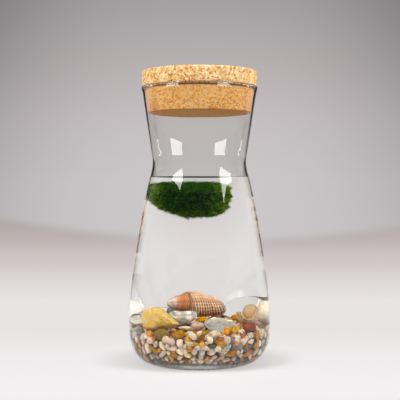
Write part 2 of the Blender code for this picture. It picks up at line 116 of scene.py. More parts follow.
def layered(
    tree: NodeTree, colour: Node | NodeSocket | tuple, layers: list[tuple]
) -> NodeSocket | tuple:
    """Lays colours over one another, each where a value says so.

    Args:
        tree: the material's node tree.
        colour: the colour under them all.
        layers: for each layer the value, the two ends of its range, the layer's share at both
            ends, and its colour in sRGB hex or from a node.

    Returns:
        The colour that they make.
    """
    for value, low, high, first, last, over in layers:
        share = add_node(tree, "MapRange", [value, low, high, first, last])
        over = linear(over) if isinstance(over, str) else over
        mixed = add_node(tree, "Mix", {0: share, 6: colour, 7: over}, data_type="RGBA")
        colour = mixed.outputs[2]
    return colour


def blank_material(name: str) -> tuple[Material, NodeTree]:
    """Makes a material whose tree holds nothing but its output.

    Args:
        name: the material's name.

    Returns:
        The material and its node tree.
    """
    made = bpy.data.materials.new(name)
    made.use_nodes = True
    tree = made.node_tree
    for node in list(tree.nodes):
        if node.type != "OUTPUT_MATERIAL":
            tree.nodes.remove(node)
    return made, tree


def shown(made: Material, surface: Node) -> Material:
    """Joins a shader to a material's output.

    Args:
        made: the material.
        surface: its shader.

    Returns:
        The material.
    """
    output = next(node for node in made.node_tree.nodes if node.type == "OUTPUT_MATERIAL")
    made.node_tree.links.new(surface.outputs[0], output.inputs["Surface"])
    return made


def mesh_piece(
    name: str, points: np.ndarray, faces: list | np.ndarray, materials: list[Material],
    face_materials: np.ndarray | None = None
) -> Object:
    """Makes a smooth mesh object.

    Args:
        name: the piece's name.
        points: one row for each point, in millimetres.
        faces: the points of each face.
        materials: the object's materials, in slot order.
        face_materials: the slot of each face, or None for the first.

    Returns:
        The object, linked to the scene.
    """
    mesh = bpy.data.meshes.new(name)
    mesh.from_pydata((np.asarray(points) * MM).tolist(), [], [list(face) for face in faces])
    mesh.update()
    mesh.shade_smooth()
    for material in materials:
        mesh.materials.append(material)
    if face_materials is not None:
        mesh.polygons.foreach_set("material_index", np.asarray(face_materials, np.int32))
    piece = bpy.data.objects.new(name, mesh)
    bpy.context.scene.collection.objects.link(piece)
    return piece


def remeshed(rough: Object, voxel: float, rounds: int) -> tuple[np.ndarray, list, np.ndarray]:
    """Draws one even, smooth skin round an object, and removes the object.

    Args:
        rough: the object, in the scene.
        voxel: the size of the skin's faces in millimetres.
        rounds: how often the skin is smoothed.

    Returns:
        The points in millimetres, the faces and the points' normals.
    """
    remesh = rough.modifiers.new("one_skin", "REMESH")
    remesh.mode = "VOXEL"
    remesh.voxel_size = voxel * MM
    smooth = rough.modifiers.new("even", "SMOOTH")
    smooth.iterations = rounds
    result = rough.evaluated_get(bpy.context.evaluated_depsgraph_get()).to_mesh()
    points = np.array([vert.co[:] for vert in result.vertices]) / MM
    faces = [tuple(face.vertices) for face in result.polygons]
    normals = np.array([vert.normal[:] for vert in result.vertices])
    bpy.data.objects.remove(rough, do_unlink=True)
    return points, faces, normals


def store(piece: Object, name: str, values: np.ndarray) -> None:
    """Keeps one number for each point of a piece, for its material to read."""
    attribute = piece.data.attributes.new(name, "FLOAT", "POINT")
    attribute.data.foreach_set("value", np.asarray(values, np.float32))


def settle(piece: Object, nodes: list[str]) -> Object:
    """Puts a finished piece in the frame and reports it.

    Args:
        piece: the piece, already in its place.
        nodes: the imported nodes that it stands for.

    Returns:
        The piece.
    """
    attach(piece, "root")
    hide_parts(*nodes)
    LOG.info("%s: %d faces, for %s", piece.name, len(piece.data.polygons), ", ".join(nodes))
    return piece


def turned(outline: Outline, around: int) -> tuple[np.ndarray, list[tuple[int, ...]], np.ndarray]:
    """Turns an outline that starts and ends on the axis into a closed skin.

    Args:
        outline: (radius, height) pairs, counter-clockwise seen with the axis on the left.
        around: points in each ring.

    Returns:
        The points, the faces, and for each face the outline step that it comes from.
    """
    turns = np.arange(around) * 2 * math.pi / around
    points = [(0.0, 0.0, outline[0][1])]
    for radius, height in outline[1:-1]:
        ring = np.column_stack(
            [radius * np.cos(turns), radius * np.sin(turns), np.full(around, height)]
        )
        points.extend(map(tuple, ring))
    points.append((0.0, 0.0, outline[-1][1]))
    last = len(points) - 1
    faces, steps = [], []
    for i in range(around):
        after = (i + 1) % around
        faces.append((0, 1 + after, 1 + i))
        steps.append(0)
        top = last - around
        faces.append((last, top + i, top + after))
        steps.append(len(outline) - 2)
        for row in range(len(outline) - 3):
            low = 1 + row * around
            high = low + around
            faces.append((low + i, low + after, high + after, high + i))
            steps.append(row + 1)
    return np.array(points), faces, np.array(steps)


class StoneKind(Enum):
    """Kinds of stone in the carafe, the gravel's own in the order of their shares first."""

    CREAM_QUARTZ = "cream_quartz"
    PINK_QUARTZ = "pink_quartz"
    GOLDEN_CHERT = "golden_chert"
    TAN_CHERT = "tan_chert"
    BROWN_CHERT = "brown_chert"
    OLIVE_CHERT = "olive_chert"
    SPECKLED_GRANITE = "speckled_granite"
    MAUVE_PORPHYRY = "mauve_porphyry"
    SLATE = "slate"
    RED_JASPER = "red_jasper"
    YELLOW_SANDSTONE = "yellow_sandstone"
    GREY_CHERT = "grey_chert"
    GREEN_SERPENTINE = "green_serpentine"


CREAM, PINK, GOLD, TAN, BROWN, OLIVE, GRANITE, MAUVE, SLATE, RED, SAND, GREY, GREEN = StoneKind


@dataclass(frozen=True)
class ClearBody:
    """Soda-lime glass or water with a fire-smooth surface: sharp reflections and true bending.

    A lustre is the thin, pearly film fired onto one side of some glass. It lies where the "film"
    attribute is 1, and lets part of the light through.
    """

    name: str
    ior: float
    tint: str = "ffffff"
    shade: float = 0.96
    lustre: float = 0.0
    lustre_tones: tuple[str, ...] = ("b9c4c4", "f4eedb", "fffaf0", "f0e2b0")
    lustre_waves: float = 3.2

    def material(self) -> Material:
        """The see-through material.

        Returns:
            The material.
        """
        made, tree = blank_material(self.name)
        tint = linear(self.tint)
        look = {"Base Color": tint, "Roughness": 0.0, "IOR": self.ior, "Transmission Weight": 1.0}
        shader = add_node(tree, "BsdfPrincipled", look)
        clear = self.lamps_through(tree, shader)
        return shown(made, self.filmed(tree, clear) if self.lustre else clear)

    def lamps_through(self, tree: NodeTree, clear: Node) -> Node:
        """Lets lamps and soft bounced light straight through, while the body bends what is seen.

        Args:
            tree: the material's node tree.
            clear: the clear body's own shader.

        Returns:
            The mixed shader.
        """
        path = add_node(tree, "LightPath").outputs
        glossy, singular = path["Is Glossy Ray"], path["Is Singular Ray"]
        soft = add_node(tree, "Math", [glossy, singular], operation="SUBTRACT")
        soft = add_node(tree, "Math", [path["Is Diffuse Ray"], soft], operation="MAXIMUM")
        either = add_node(
            tree, "Math", [path["Is Shadow Ray"], soft], operation="MAXIMUM", use_clamp=True
        )
        open_way = add_node(tree, "BsdfTransparent", [(self.shade, self.shade, self.shade, 1)])
        return add_node(tree, "MixShader", [either, clear, open_way])

    def filmed(self, tree: NodeTree, clear: Node) -> Node:
        """Lays the lustre over the clear body on the side that has it.

        Args:
            tree: the material's node tree.
            clear: the clear body's shader.

        Returns:
            The mixed shader.
        """
        place = add_node(tree, "TexCoord").outputs["Object"]
        scale = 1 / (self.lustre_waves * MM)
        waves = add_node(tree, "TexNoise", {"Vector": place, "Scale": scale, "Detail": 1.5})
        relief = {"Height": waves, "Strength": 0.7, "Distance": 1.2 * MM}
        bump = add_node(tree, "Bump", relief)
        stops = list(zip((0.3, 0.42, 0.56, 0.7), self.lustre_tones))
        look = {
            "Base Color": add_node(tree, "ValToRGB", [waves], stops=stops), "Metallic": 0.34,
            "Roughness": 0.13, "Coat Weight": 1.0, "Coat Roughness": 0.05, "Normal": bump
        }
        pearl = add_node(tree, "BsdfPrincipled", look)
        film = add_node(tree, "Attribute", attribute_name="film").outputs["Fac"]
        share = add_node(tree, "Math", [film, self.lustre], operation="MULTIPLY")
        return add_node(tree, "MixShader", [share, clear, pearl])


AIR, WATER_IOR, GLASS_IOR = 1.0, 1.333, 1.5
BLOWN_GLASS = ClearBody("blown_soda_lime_glass", GLASS_IOR, "fefffe")
WET_GLASS = ClearBody("blown_glass_against_water", GLASS_IOR / WATER_IOR, shade=1.0)
WATER_SKIN = ClearBody("still_water_surface", WATER_IOR, shade=1.0)
WATER_AT_GLASS = ClearBody("water_against_glass", AIR, shade=1.0)
LUSTRED_NUGGET = ClearBody(
    "pressed_glass_nugget_lustred", GLASS_IOR / WATER_IOR, "fffefa", lustre=0.75
)
PLAIN_NUGGET = ClearBody("pressed_glass_nugget_plain", GLASS_IOR / WATER_IOR, "fcfffa")
WET_SHINE = 0.09
"""Specular level of a thing under water, which gives back a sixth of what it does in air."""


@dataclass(frozen=True)
class AgglomeratedCork:
    """Cork granules pressed into a block and sanded: a dry, matt mosaic of cream and rust.

    A ring of painted shade lies where the glass lip covers the cork, damp has deepened the part
    that sits in the neck, and the underside is darkened with painted shade. Sizes are in
    millimetres, and each pair of heights is where a change starts and ends.
    """

    granule: float = 1.05
    speck: float = 0.8
    patch: float = 6.0
    # Heights of the ring of painted shade where the glass lip covers the cork.
    lip: tuple[float, float] = (172.8, 174.4)
    damp: tuple[float, float] = (172.5, 174.5)
    # Heights over which the painted shade of the underside fades out.
    underside: tuple[float, float] = (158.3, 159.0)
    specked: tuple[float, float] = (159.5, 166.5)
    stain: Place = (-30.0, -20.0, 159.0)
    stain_radius: float = 8.0

    def specks(self, tree: NodeTree, place: NodeSocket, height: NodeSocket) -> Node:
        """Where small bits of dark bark lie, more of them near the bottom edge.

        Args:
            tree: the material's node tree.
            place: the place in the cork.
            height: its height in metres.

        Returns:
            The share of bark.
        """
        scale = 1 / (self.speck * MM)
        cells = add_node(tree, "TexVoronoi", {"Vector": place, "Scale": scale})
        pick = add_node(tree, "SeparateColor", [cells.outputs["Color"]]).outputs["Green"]
        low, high = (end * MM for end in self.specked)
        share = add_node(tree, "MapRange", [height, low, high, 0.78, 0.90])
        chosen = add_node(tree, "Math", [pick, share], operation="GREATER_THAN")
        inner = add_node(tree, "MapRange", [cells.outputs["Distance"], 0.32, 0.46, 0.9, 0.0])
        return add_node(tree, "Math", [chosen, inner], operation="MULTIPLY")

    def material(self) -> Material:
        """Granule colours, rust patches, dark specks, a stain; painted shade at lip and underside.

        Returns:
            The material.
        """
        made, tree = blank_material("agglomerated_cork_sanded")
        place = add_node(tree, "TexCoord").outputs["Object"]
        height = add_node(tree, "SeparateXYZ", [place]).outputs["Z"]
        scale = 1 / (self.granule * MM)
        granules = add_node(tree, "TexVoronoi", {"Vector": place, "Scale": scale})
        pick = add_node(tree, "SeparateColor", [granules.outputs["Color"]])
        tones = ("cf7226", "e29a4c", "f1bd70", "f9d18c", "fee0a6", "ffedc8")
        stops = list(zip((0.0, 0.14, 0.26, 0.5, 0.8, 1.0), tones))
        colour = add_node(tree, "ValToRGB", [pick], stops=stops)
        scale = 1 / (self.patch * MM)
        broad = add_node(tree, "TexNoise", {"Vector": place, "Scale": scale, "Detail": 3.0})
        stain = tuple(value * MM for value in self.stain)
        away = add_node(tree, "VectorMath", [place, stain], operation="DISTANCE").outputs["Value"]
        middle, half = sum(self.lip) / 2 * MM, (self.lip[1] - self.lip[0]) / 2 * MM
        from_lip = add_node(tree, "Math", [height, middle], operation="SUBTRACT")
        from_lip = add_node(tree, "Math", [from_lip], operation="ABSOLUTE")
        reach = self.stain_radius * MM
        damp, underside = ([end * MM for end in pair] for pair in (self.damp, self.underside))
        layers = [
            (broad, 0.5, 0.7, 0.0, 0.4, "d98c48"), (height, *damp, 0.5, 0.0, "f4a23c"),
            # Painted shade on the cork's underside.
            (height, *underside, 0.65, 0.0, "8f5804"),
            (away, reach * 0.5, reach, 0.6, 0.0, "d07a16"),
            (self.specks(tree, place, height), 0.0, 1.0, 0.0, 1.0, "5c2010"),
            # Painted shade: a dark ring where the glass lip covers the cork.
            (from_lip, half * 0.7, half, 0.85, 0.0, "6a2e16")
        ]
        relief = {"Height": granules, "Strength": 0.3, "Distance": 0.12 * MM}
        look = {
            "Base Color": layered(tree, colour, layers), "Roughness": 0.85,
            "Specular IOR Level": 0.25, "Normal": add_node(tree, "Bump", relief)
        }
        return shown(made, add_node(tree, "BsdfPrincipled", look))


@dataclass(frozen=True)
class MarimoFilament:
    """Wet green alga: almost black where it is dense, and lime where light comes through a tip."""

    name: str = "marimo_filament"
    root: str = "041304"
    middle: str = "2c7410"
    tip: str = "cce83c"
    glow: str = "dcf048"
    see_through: float = 0.3
    patch: float = 1.3

    def material(self) -> Material:
        """Dark to light along each thread, with light shining through.

        Returns:
            The material.
        """
        made, tree = blank_material(self.name)
        along = add_node(tree, "Attribute", attribute_name="to_tip").outputs["Fac"]
        place = add_node(tree, "TexCoord").outputs["Object"]
        scale = 1 / (self.patch * MM)
        patch = add_node(tree, "TexNoise", {"Vector": place, "Scale": scale, "Detail": 4.0})
        moved = add_node(tree, "Math", [patch, 1.9, -0.95], operation="MULTIPLY_ADD")
        total = add_node(tree, "Math", [along, moved], operation="ADD", use_clamp=True)
        stops = [(0.0, self.root), (0.55, self.middle), (1.0, self.tip)]
        body = add_node(tree, "ValToRGB", [total], stops=stops)
        look = {"Base Color": body, "Roughness": 0.6, "Specular IOR Level": WET_SHINE}
        thread = add_node(tree, "BsdfPrincipled", look)
        through = layered(tree, linear(self.middle), [(along, 0.0, 1.0, 0.0, 1.0, self.glow)])
        lit = add_node(tree, "BsdfTranslucent", [through])
        return shown(made, add_node(tree, "MixShader", [self.see_through, thread, lit]))


@dataclass(frozen=True)
class WaterWornStone:
    """River stone tumbled smooth: soft mottling and flecks under a wet, slightly glossy skin."""

    kind: StoneKind
    base: str
    mottle: str
    fleck: str
    deep: str
    mottle_size: float = 2.6
    fleck_size: float = 0.7
    fleck_share: float = 0.35
    roughness: float = 0.42
    vein_size: float = 4.5
    # Colour of the painted shade in the gaps between the pebbles and at the floor.
    painted_gap_shade: str = "2a1a0c"

    def material(self) -> Material:
        """The stone's colours, a little different on each pebble, and painted shade in the gaps.

        Returns:
            The material, the same one each time.
        """
        name = f"water_worn_{self.kind.value}"
        if name in bpy.data.materials:
            return bpy.data.materials[name]
        made, tree = blank_material(name)
        own = add_node(tree, "Attribute", attribute_name="own").outputs["Fac"]
        painted_gap_shade = add_node(tree, "Attribute", attribute_name="painted_gap_shade").outputs["Fac"]
        place = add_node(tree, "TexCoord").outputs["Object"]
        apart = (0.31, 0.53, 0.77)
        place = add_node(tree, "VectorMath", [own, apart, place], operation="MULTIPLY_ADD")
        broad, fine, veins = (
            add_node(
                tree, "TexNoise",
                {"Vector": place, "Scale": 1 / (size * MM), "Detail": detail, "Distortion": bend}
            )
            for size, detail, bend in (
                (self.mottle_size, 5.0, 0.6), (self.fleck_size, 3.0, 0.0),
                (self.vein_size, 2.0, 1.5)
            )
        )
        seam = add_node(tree, "Math", [veins, 0.5], operation="SUBTRACT")
        seam = add_node(tree, "Math", [seam], operation="ABSOLUTE")
        layers = [
            (broad, 0.38, 0.62, 0.0, 1.0, self.mottle),
            (fine, 0.56, 0.66, 0.0, self.fleck_share, self.fleck),
            # The last layer is painted shade in the gaps between the pebbles and at the floor.
            (seam, 0.004, 0.016, 0.6, 0.0, self.deep), (painted_gap_shade, 0.0, 1.0, 0.0, 1.0, self.painted_gap_shade)
        ]
        colour = layered(tree, linear(self.base), layers)
        shift = add_node(tree, "MapRange", [own, 0.0, 1.0, 0.66, 1.2])
        varied = {"Color": colour, "Saturation": 1.16, "Value": shift}
        relief = {"Height": fine, "Strength": 0.25, "Distance": 0.15 * MM}
        look = {
            "Base Color": add_node(tree, "HueSaturation", varied), "Roughness": self.roughness,
            "Specular IOR Level": WET_SHINE, "Normal": add_node(tree, "Bump", relief)
        }
        return shown(made, add_node(tree, "BsdfPrincipled", look))


STONE_FINISHES = {
    look[0]: WaterWornStone(*look)
    for look in (
        (CREAM, "f3dcb6", "fff3e0", "cf9f68", "b07c48"),
        (PINK, "edc8ae", "fae6d6", "c08a68", "985c40"),
        (GOLD, "c98a24", "ecba5c", "84480e", "5e320a"),
        (TAN, "cc7a2c", "e8ac66", "8a3e10", "6a2c0c"),
        (BROWN, "94601c", "c08a3a", "502c0a", "3a1e06"),
        (OLIVE, "86682a", "aa8c46", "4c3a12", "38280a"),
        (GRANITE, "b4a894", "e8dfcc", "463a2c", "382e24", 1.6, 0.6, 0.85),
        (MAUVE, "8c7c78", "b0a29c", "54463f", "463832"),
        (SLATE, "595d62", "7a7d80", "33343a", "24252a"),
        (RED, "8c3004", "b05414", "481402", "300c02"),
        (SAND, "ffd47c", "ffe8b4", "f0b254", "d69a3c", 2.4, 0.7, 0.7, 0.6),
        (GREY, "908b7e", "aca797", "5a564a", "444036"),
        (GREEN, "3c4634", "5c6650", "20281c", "181e14")
    )
}


@dataclass
class Carafe:
    """Blown carafe: pressed foot, round base corner, belly, waist, flared neck and beaded lip."""

    height: float = 175.0
    wall: float = 1.4
    floor: float = 5.0
    foot_radius: float = 27.0
    kick_radius: float = 20.0
    kick_depth: float = 0.8
    belly_radius: float = 44.7
    belly_height: float = 23.0
    inner_floor_radius: float = 23.0
    corner_power: float = 2.3
    neck_top: float = 171.0
    lip_radius: float = 36.9
    bead: float = 0.85
    ripple: float = 0.05
    around: int = 150
    side: tuple[tuple[float, float], ...] = (
        (23.0, 44.7), (42.0, 43.9), (60.0, 41.9), (90.0, 37.15), (112.0, 32.9), (122.0, 30.45),
        (128.0, 29.8), (135.0, 30.75), (150.0, 33.05), (171.0, 36.2)
    )

    def side_radius(self, height: float) -> float:
        """Outer radius between the belly and the neck's top, on one smooth curve.

        Args:
            height: height above the table.

        Returns:
            The radius.
        """
        side = self.side
        slopes = [0.0]
        for (low, first), (_, _), (high, last) in zip(side, side[1:], side[2:]):
            slopes.append((last - first) / (high - low))
        slopes.append((side[-1][1] - side[-2][1]) / (side[-1][0] - side[-2][0]))
        for (low, first), (high, last), into, out in zip(side, side[1:], slopes, slopes[1:]):
            if height <= high:
                break
        span = high - low
        u = (height - low) / span
        return (
            (2 * u**3 - 3 * u**2 + 1) * first + (u**3 - 2 * u**2 + u) * span * into
            + (3 * u**2 - 2 * u**3) * last + (u**3 - u**2) * span * out
        )

    def corner(self, low: tuple[float, float], high: tuple[float, float], steps: int) -> Outline:
        """Points of a round base corner.

        Args:
            low: the (radius, height) end on the foot.
            high: the end on the belly.
            steps: how many steps the corner has.

        Returns:
            The points, both ends with them.
        """
        points = []
        for i in range(steps + 1):
            angle = math.pi / 2 * i / steps
            out = math.sin(angle) ** (2 / self.corner_power)
            up = 1 - math.cos(angle) ** (2 / self.corner_power)
            points.append((low[0] + (high[0] - low[0]) * out, low[1] + (high[1] - low[1]) * up))
        return points

    def inner_radius(self, height: float) -> float:
        """Inner radius above the floor.

        Args:
            height: height above the table.

        Returns:
            The radius.
        """
        if height >= self.belly_height:
            return self.side_radius(height) - self.wall
        depth = self.belly_height - self.floor
        down = min(1.0, (self.belly_height - height) / depth)
        out = (1 - down**self.corner_power) ** (1 / self.corner_power)
        spread = self.belly_radius - self.wall - self.inner_floor_radius
        return self.inner_floor_radius + spread * out

    def build(self, wet_to: float) -> Object:
        """Builds the glass, with its wet inner faces in the material for glass against water.

        Args:
            wet_to: height that the water climbs to on the inner wall.

        Returns:
            The glass piece.
        """
        outline = [(0.0, self.kick_depth)]
        for i in range(1, 9):
            part = i / 8
            lift = self.kick_depth * (0.5 + 0.5 * math.cos(math.pi * part))
            outline.append((self.kick_radius * part, lift))
        belly = (self.belly_radius, self.belly_height)
        outline += self.corner((self.foot_radius, 0.0), belly, 40)
        outline += [(self.side_radius(h), h) for h in np.linspace(24.5, self.neck_top, 110)]
        middle = (self.lip_radius - self.bead, self.height - self.bead)
        for i in range(17):
            angle = math.radians(-25 + 230 * i / 16)
            outline.append(
                (middle[0] + self.bead * math.cos(angle), middle[1] + self.bead * math.sin(angle))
            )
        dry = np.linspace(self.neck_top, wet_to, 48)
        outline += [(self.side_radius(h) - self.wall, h) for h in dry]
        wet_from = len(outline) - 1
        wet = np.linspace(wet_to, self.belly_height, 72)[1:]
        outline += [(self.side_radius(h) - self.wall, h) for h in wet]
        inner_low = (self.inner_floor_radius, self.floor)
        inner_high = (self.belly_radius - self.wall, self.belly_height)
        outline += self.corner(inner_low, inner_high, 32)[::-1][1:]
        outline += [(self.inner_floor_radius * part, self.floor) for part in (0.75, 0.5, 0.25)]
        outline.append((0.0, self.floor))
        points, faces, steps = turned(outline, self.around)
        inside = self.inside_points(points)
        points[inside] = self.rippled(points[inside])
        slots = (steps >= wet_from).astype(np.int32)
        glass = mesh_piece(
            "blown_carafe", points, faces, [BLOWN_GLASS.material(), WET_GLASS.material()], slots
        )
        return settle(glass, ["carafe"])

    def inside_points(self, points: np.ndarray) -> np.ndarray:
        """Which points lie on the inner wall, between the lip and the base corner.

        Args:
            points: the glass's points.

        Returns:
            True for each point that does.
        """
        radius = np.hypot(points[:, 0], points[:, 1])
        height = points[:, 2]
        upright = (height > self.belly_height + 4) & (height < self.neck_top - 4)
        rows = zip(height, radius, upright)
        return np.array([bool(u) and self.side_radius(h) - r > 0.5 * self.wall for h, r, u in rows])

    def rippled(self, points: np.ndarray) -> np.ndarray:
        """The faint upright unevenness that blowing leaves in the wall's thickness.

        Args:
            points: points of the inner wall.

        Returns:
            The points, each moved a little in or out.
        """
        moved = points.copy()
        for row, (x, y, z) in enumerate(points):
            turn = math.atan2(y, x)
            spot = Vector((4.2 * math.cos(turn), 4.2 * math.sin(turn), 0.006 * z))
            change = 1 + self.ripple * noise.noise(spot) / math.hypot(x, y)
            moved[row, :2] = (x * change, y * change)
        return moved


@dataclass
class Water:
    """Still water from the gravel up to its level, climbing the glass in a meniscus."""

    level: float = 116.2
    capillary: float = 2.73
    contact: float = 32.0
    over_gravel: float = 1.5
    into_glass: float = 0.03
    around: int = 160

    @property
    def wet_to(self) -> float:
        """Height of the line where the water's skin meets the glass."""
        return self.level + self.climb(self.contact)[1]

    def climb(self, slope: float) -> tuple[float, float]:
        """Where the water's skin has a slope, as a wide meniscus has it.

        Args:
            slope: the slope in degrees.

        Returns:
            How far in from the glass that is, and how high above the level.
        """
        turn, start = math.radians(slope), math.radians(self.contact)
        near, far = (
            math.log(math.tan(angle / 4)) + 2 * math.cos(angle / 2) for angle in (start, turn)
        )
        return self.capillary * (near - far), 2 * self.capillary * math.sin(turn / 2)

    def build(self, carafe: Carafe, bed: GravelBed) -> Object:
        """Builds the water in one closed body.

        Args:
            carafe: the glass that holds it.
            bed: the gravel under it.

        Returns:
            The water piece.
        """
        rim = carafe.inner_radius(bed.edge) + self.into_glass
        outline = [(0.0, bed.top(0.0) + self.over_gravel)]
        for part in np.linspace(0.1, 0.98, 14):
            outline.append((rim * part, bed.top(rim * part) + self.over_gravel))
        low = bed.edge + self.over_gravel + 0.3
        for height in np.linspace(low, self.wet_to, 60):
            outline.append((carafe.inner_radius(height) + self.into_glass, height))
        skin_from = len(outline) - 1
        edge = outline[-1][0]
        for slope in np.geomspace(self.contact, 0.8, 40)[1:]:
            inward, lift = self.climb(slope)
            outline.append((edge - inward, self.level + lift))
        flat = outline[-1][0]
        for part in (0.8, 0.55, 0.3):
            outline.append((flat * part, self.level))
        outline.append((0.0, self.level))
        points, faces, steps = turned(outline, self.around)
        slots = (steps < skin_from).astype(np.int32)
        water = mesh_piece(
            "still_water", points, faces, [WATER_SKIN.material(), WATER_AT_GLASS.material()], slots
        )
        return settle(water, ["water"])


@dataclass
class CorkStopper:
    """Wide tapered cork, sanded, with small pits, pressed into the flared neck."""

    top: float = 184.5
    bottom: float = 158.0
    top_radius: float = 36.7
    above_lip_radius: float = 36.0
    gap: float = 0.3
    edge: float = 1.0
    pit_depth: float = 0.35
    around: int = 160

    def outline(self, carafe: Carafe) -> Outline:
        """The cork's side, from its underside's middle to its top's.

        Args:
            carafe: the glass that it is pressed into.

        Returns:
            The (radius, height) points.
        """
        points = [(0.0, self.bottom)]
        low_radius = carafe.side_radius(self.bottom) - carafe.wall - self.gap
        points += [(low_radius * part, self.bottom) for part in np.linspace(0.08, 0.97, 24)]
        heights = np.linspace(self.bottom + 0.35, carafe.neck_top, 26)
        points += [(carafe.side_radius(h) - carafe.wall - self.gap, h) for h in heights]
        lip = carafe.lip_radius - 2 * carafe.bead - self.gap
        points.append((lip, carafe.height - 0.6))
        points.append((self.above_lip_radius - 0.1, carafe.height + 0.6))
        for part in np.linspace(0, 1, 12):
            radius = self.above_lip_radius + (self.top_radius - self.above_lip_radius) * part
            low = carafe.height + 1.4
            points.append((radius, low + (self.top - self.edge - low) * part))
        for angle in np.radians([30, 60, 90]):
            inward, down = self.edge * (1 - math.cos(angle)), self.edge * (1 - math.sin(angle))
            points.append((self.top_radius - inward, self.top - down))
        flat = self.top_radius - self.edge
        points += [(flat * part, self.top) for part in np.linspace(0.96, 0.08, 24)]
        points.append((0.0, self.top))
        return points

    def build(self, carafe: Carafe) -> Object:
        """Builds the cork with its pits pressed in.

        Args:
            carafe: the glass that it is pressed into.

        Returns:
            The cork.
        """
        points, faces, _ = turned(self.outline(carafe), self.around)
        middle = np.array([0.0, 0.0, (self.top + self.bottom) / 2])
        pitted = points.copy()
        for row, point in enumerate(points):
            spot = Vector(point)
            depth = max(0.0, noise.noise(spot * 0.55) - 0.30) * 2.0
            depth += max(0.0, noise.noise(spot * 1.3 + Vector((9, 4, 2))) - 0.42) * 1.5
            way = middle - point
            if abs(point[2] - self.top) > 0.01 and abs(point[2] - self.bottom) > 0.01:
                way[2] = 0.0
            else:
                way[:2] = 0.0
            length = np.linalg.norm(way)
            if length > 0:
                pitted[row] = point + way / length * min(1.0, depth) * self.pit_depth
        cork = mesh_piece("pressed_cork_stopper", pitted, faces, [AgglomeratedCork().material()])
        return settle(cork, ["cork_stopper"])


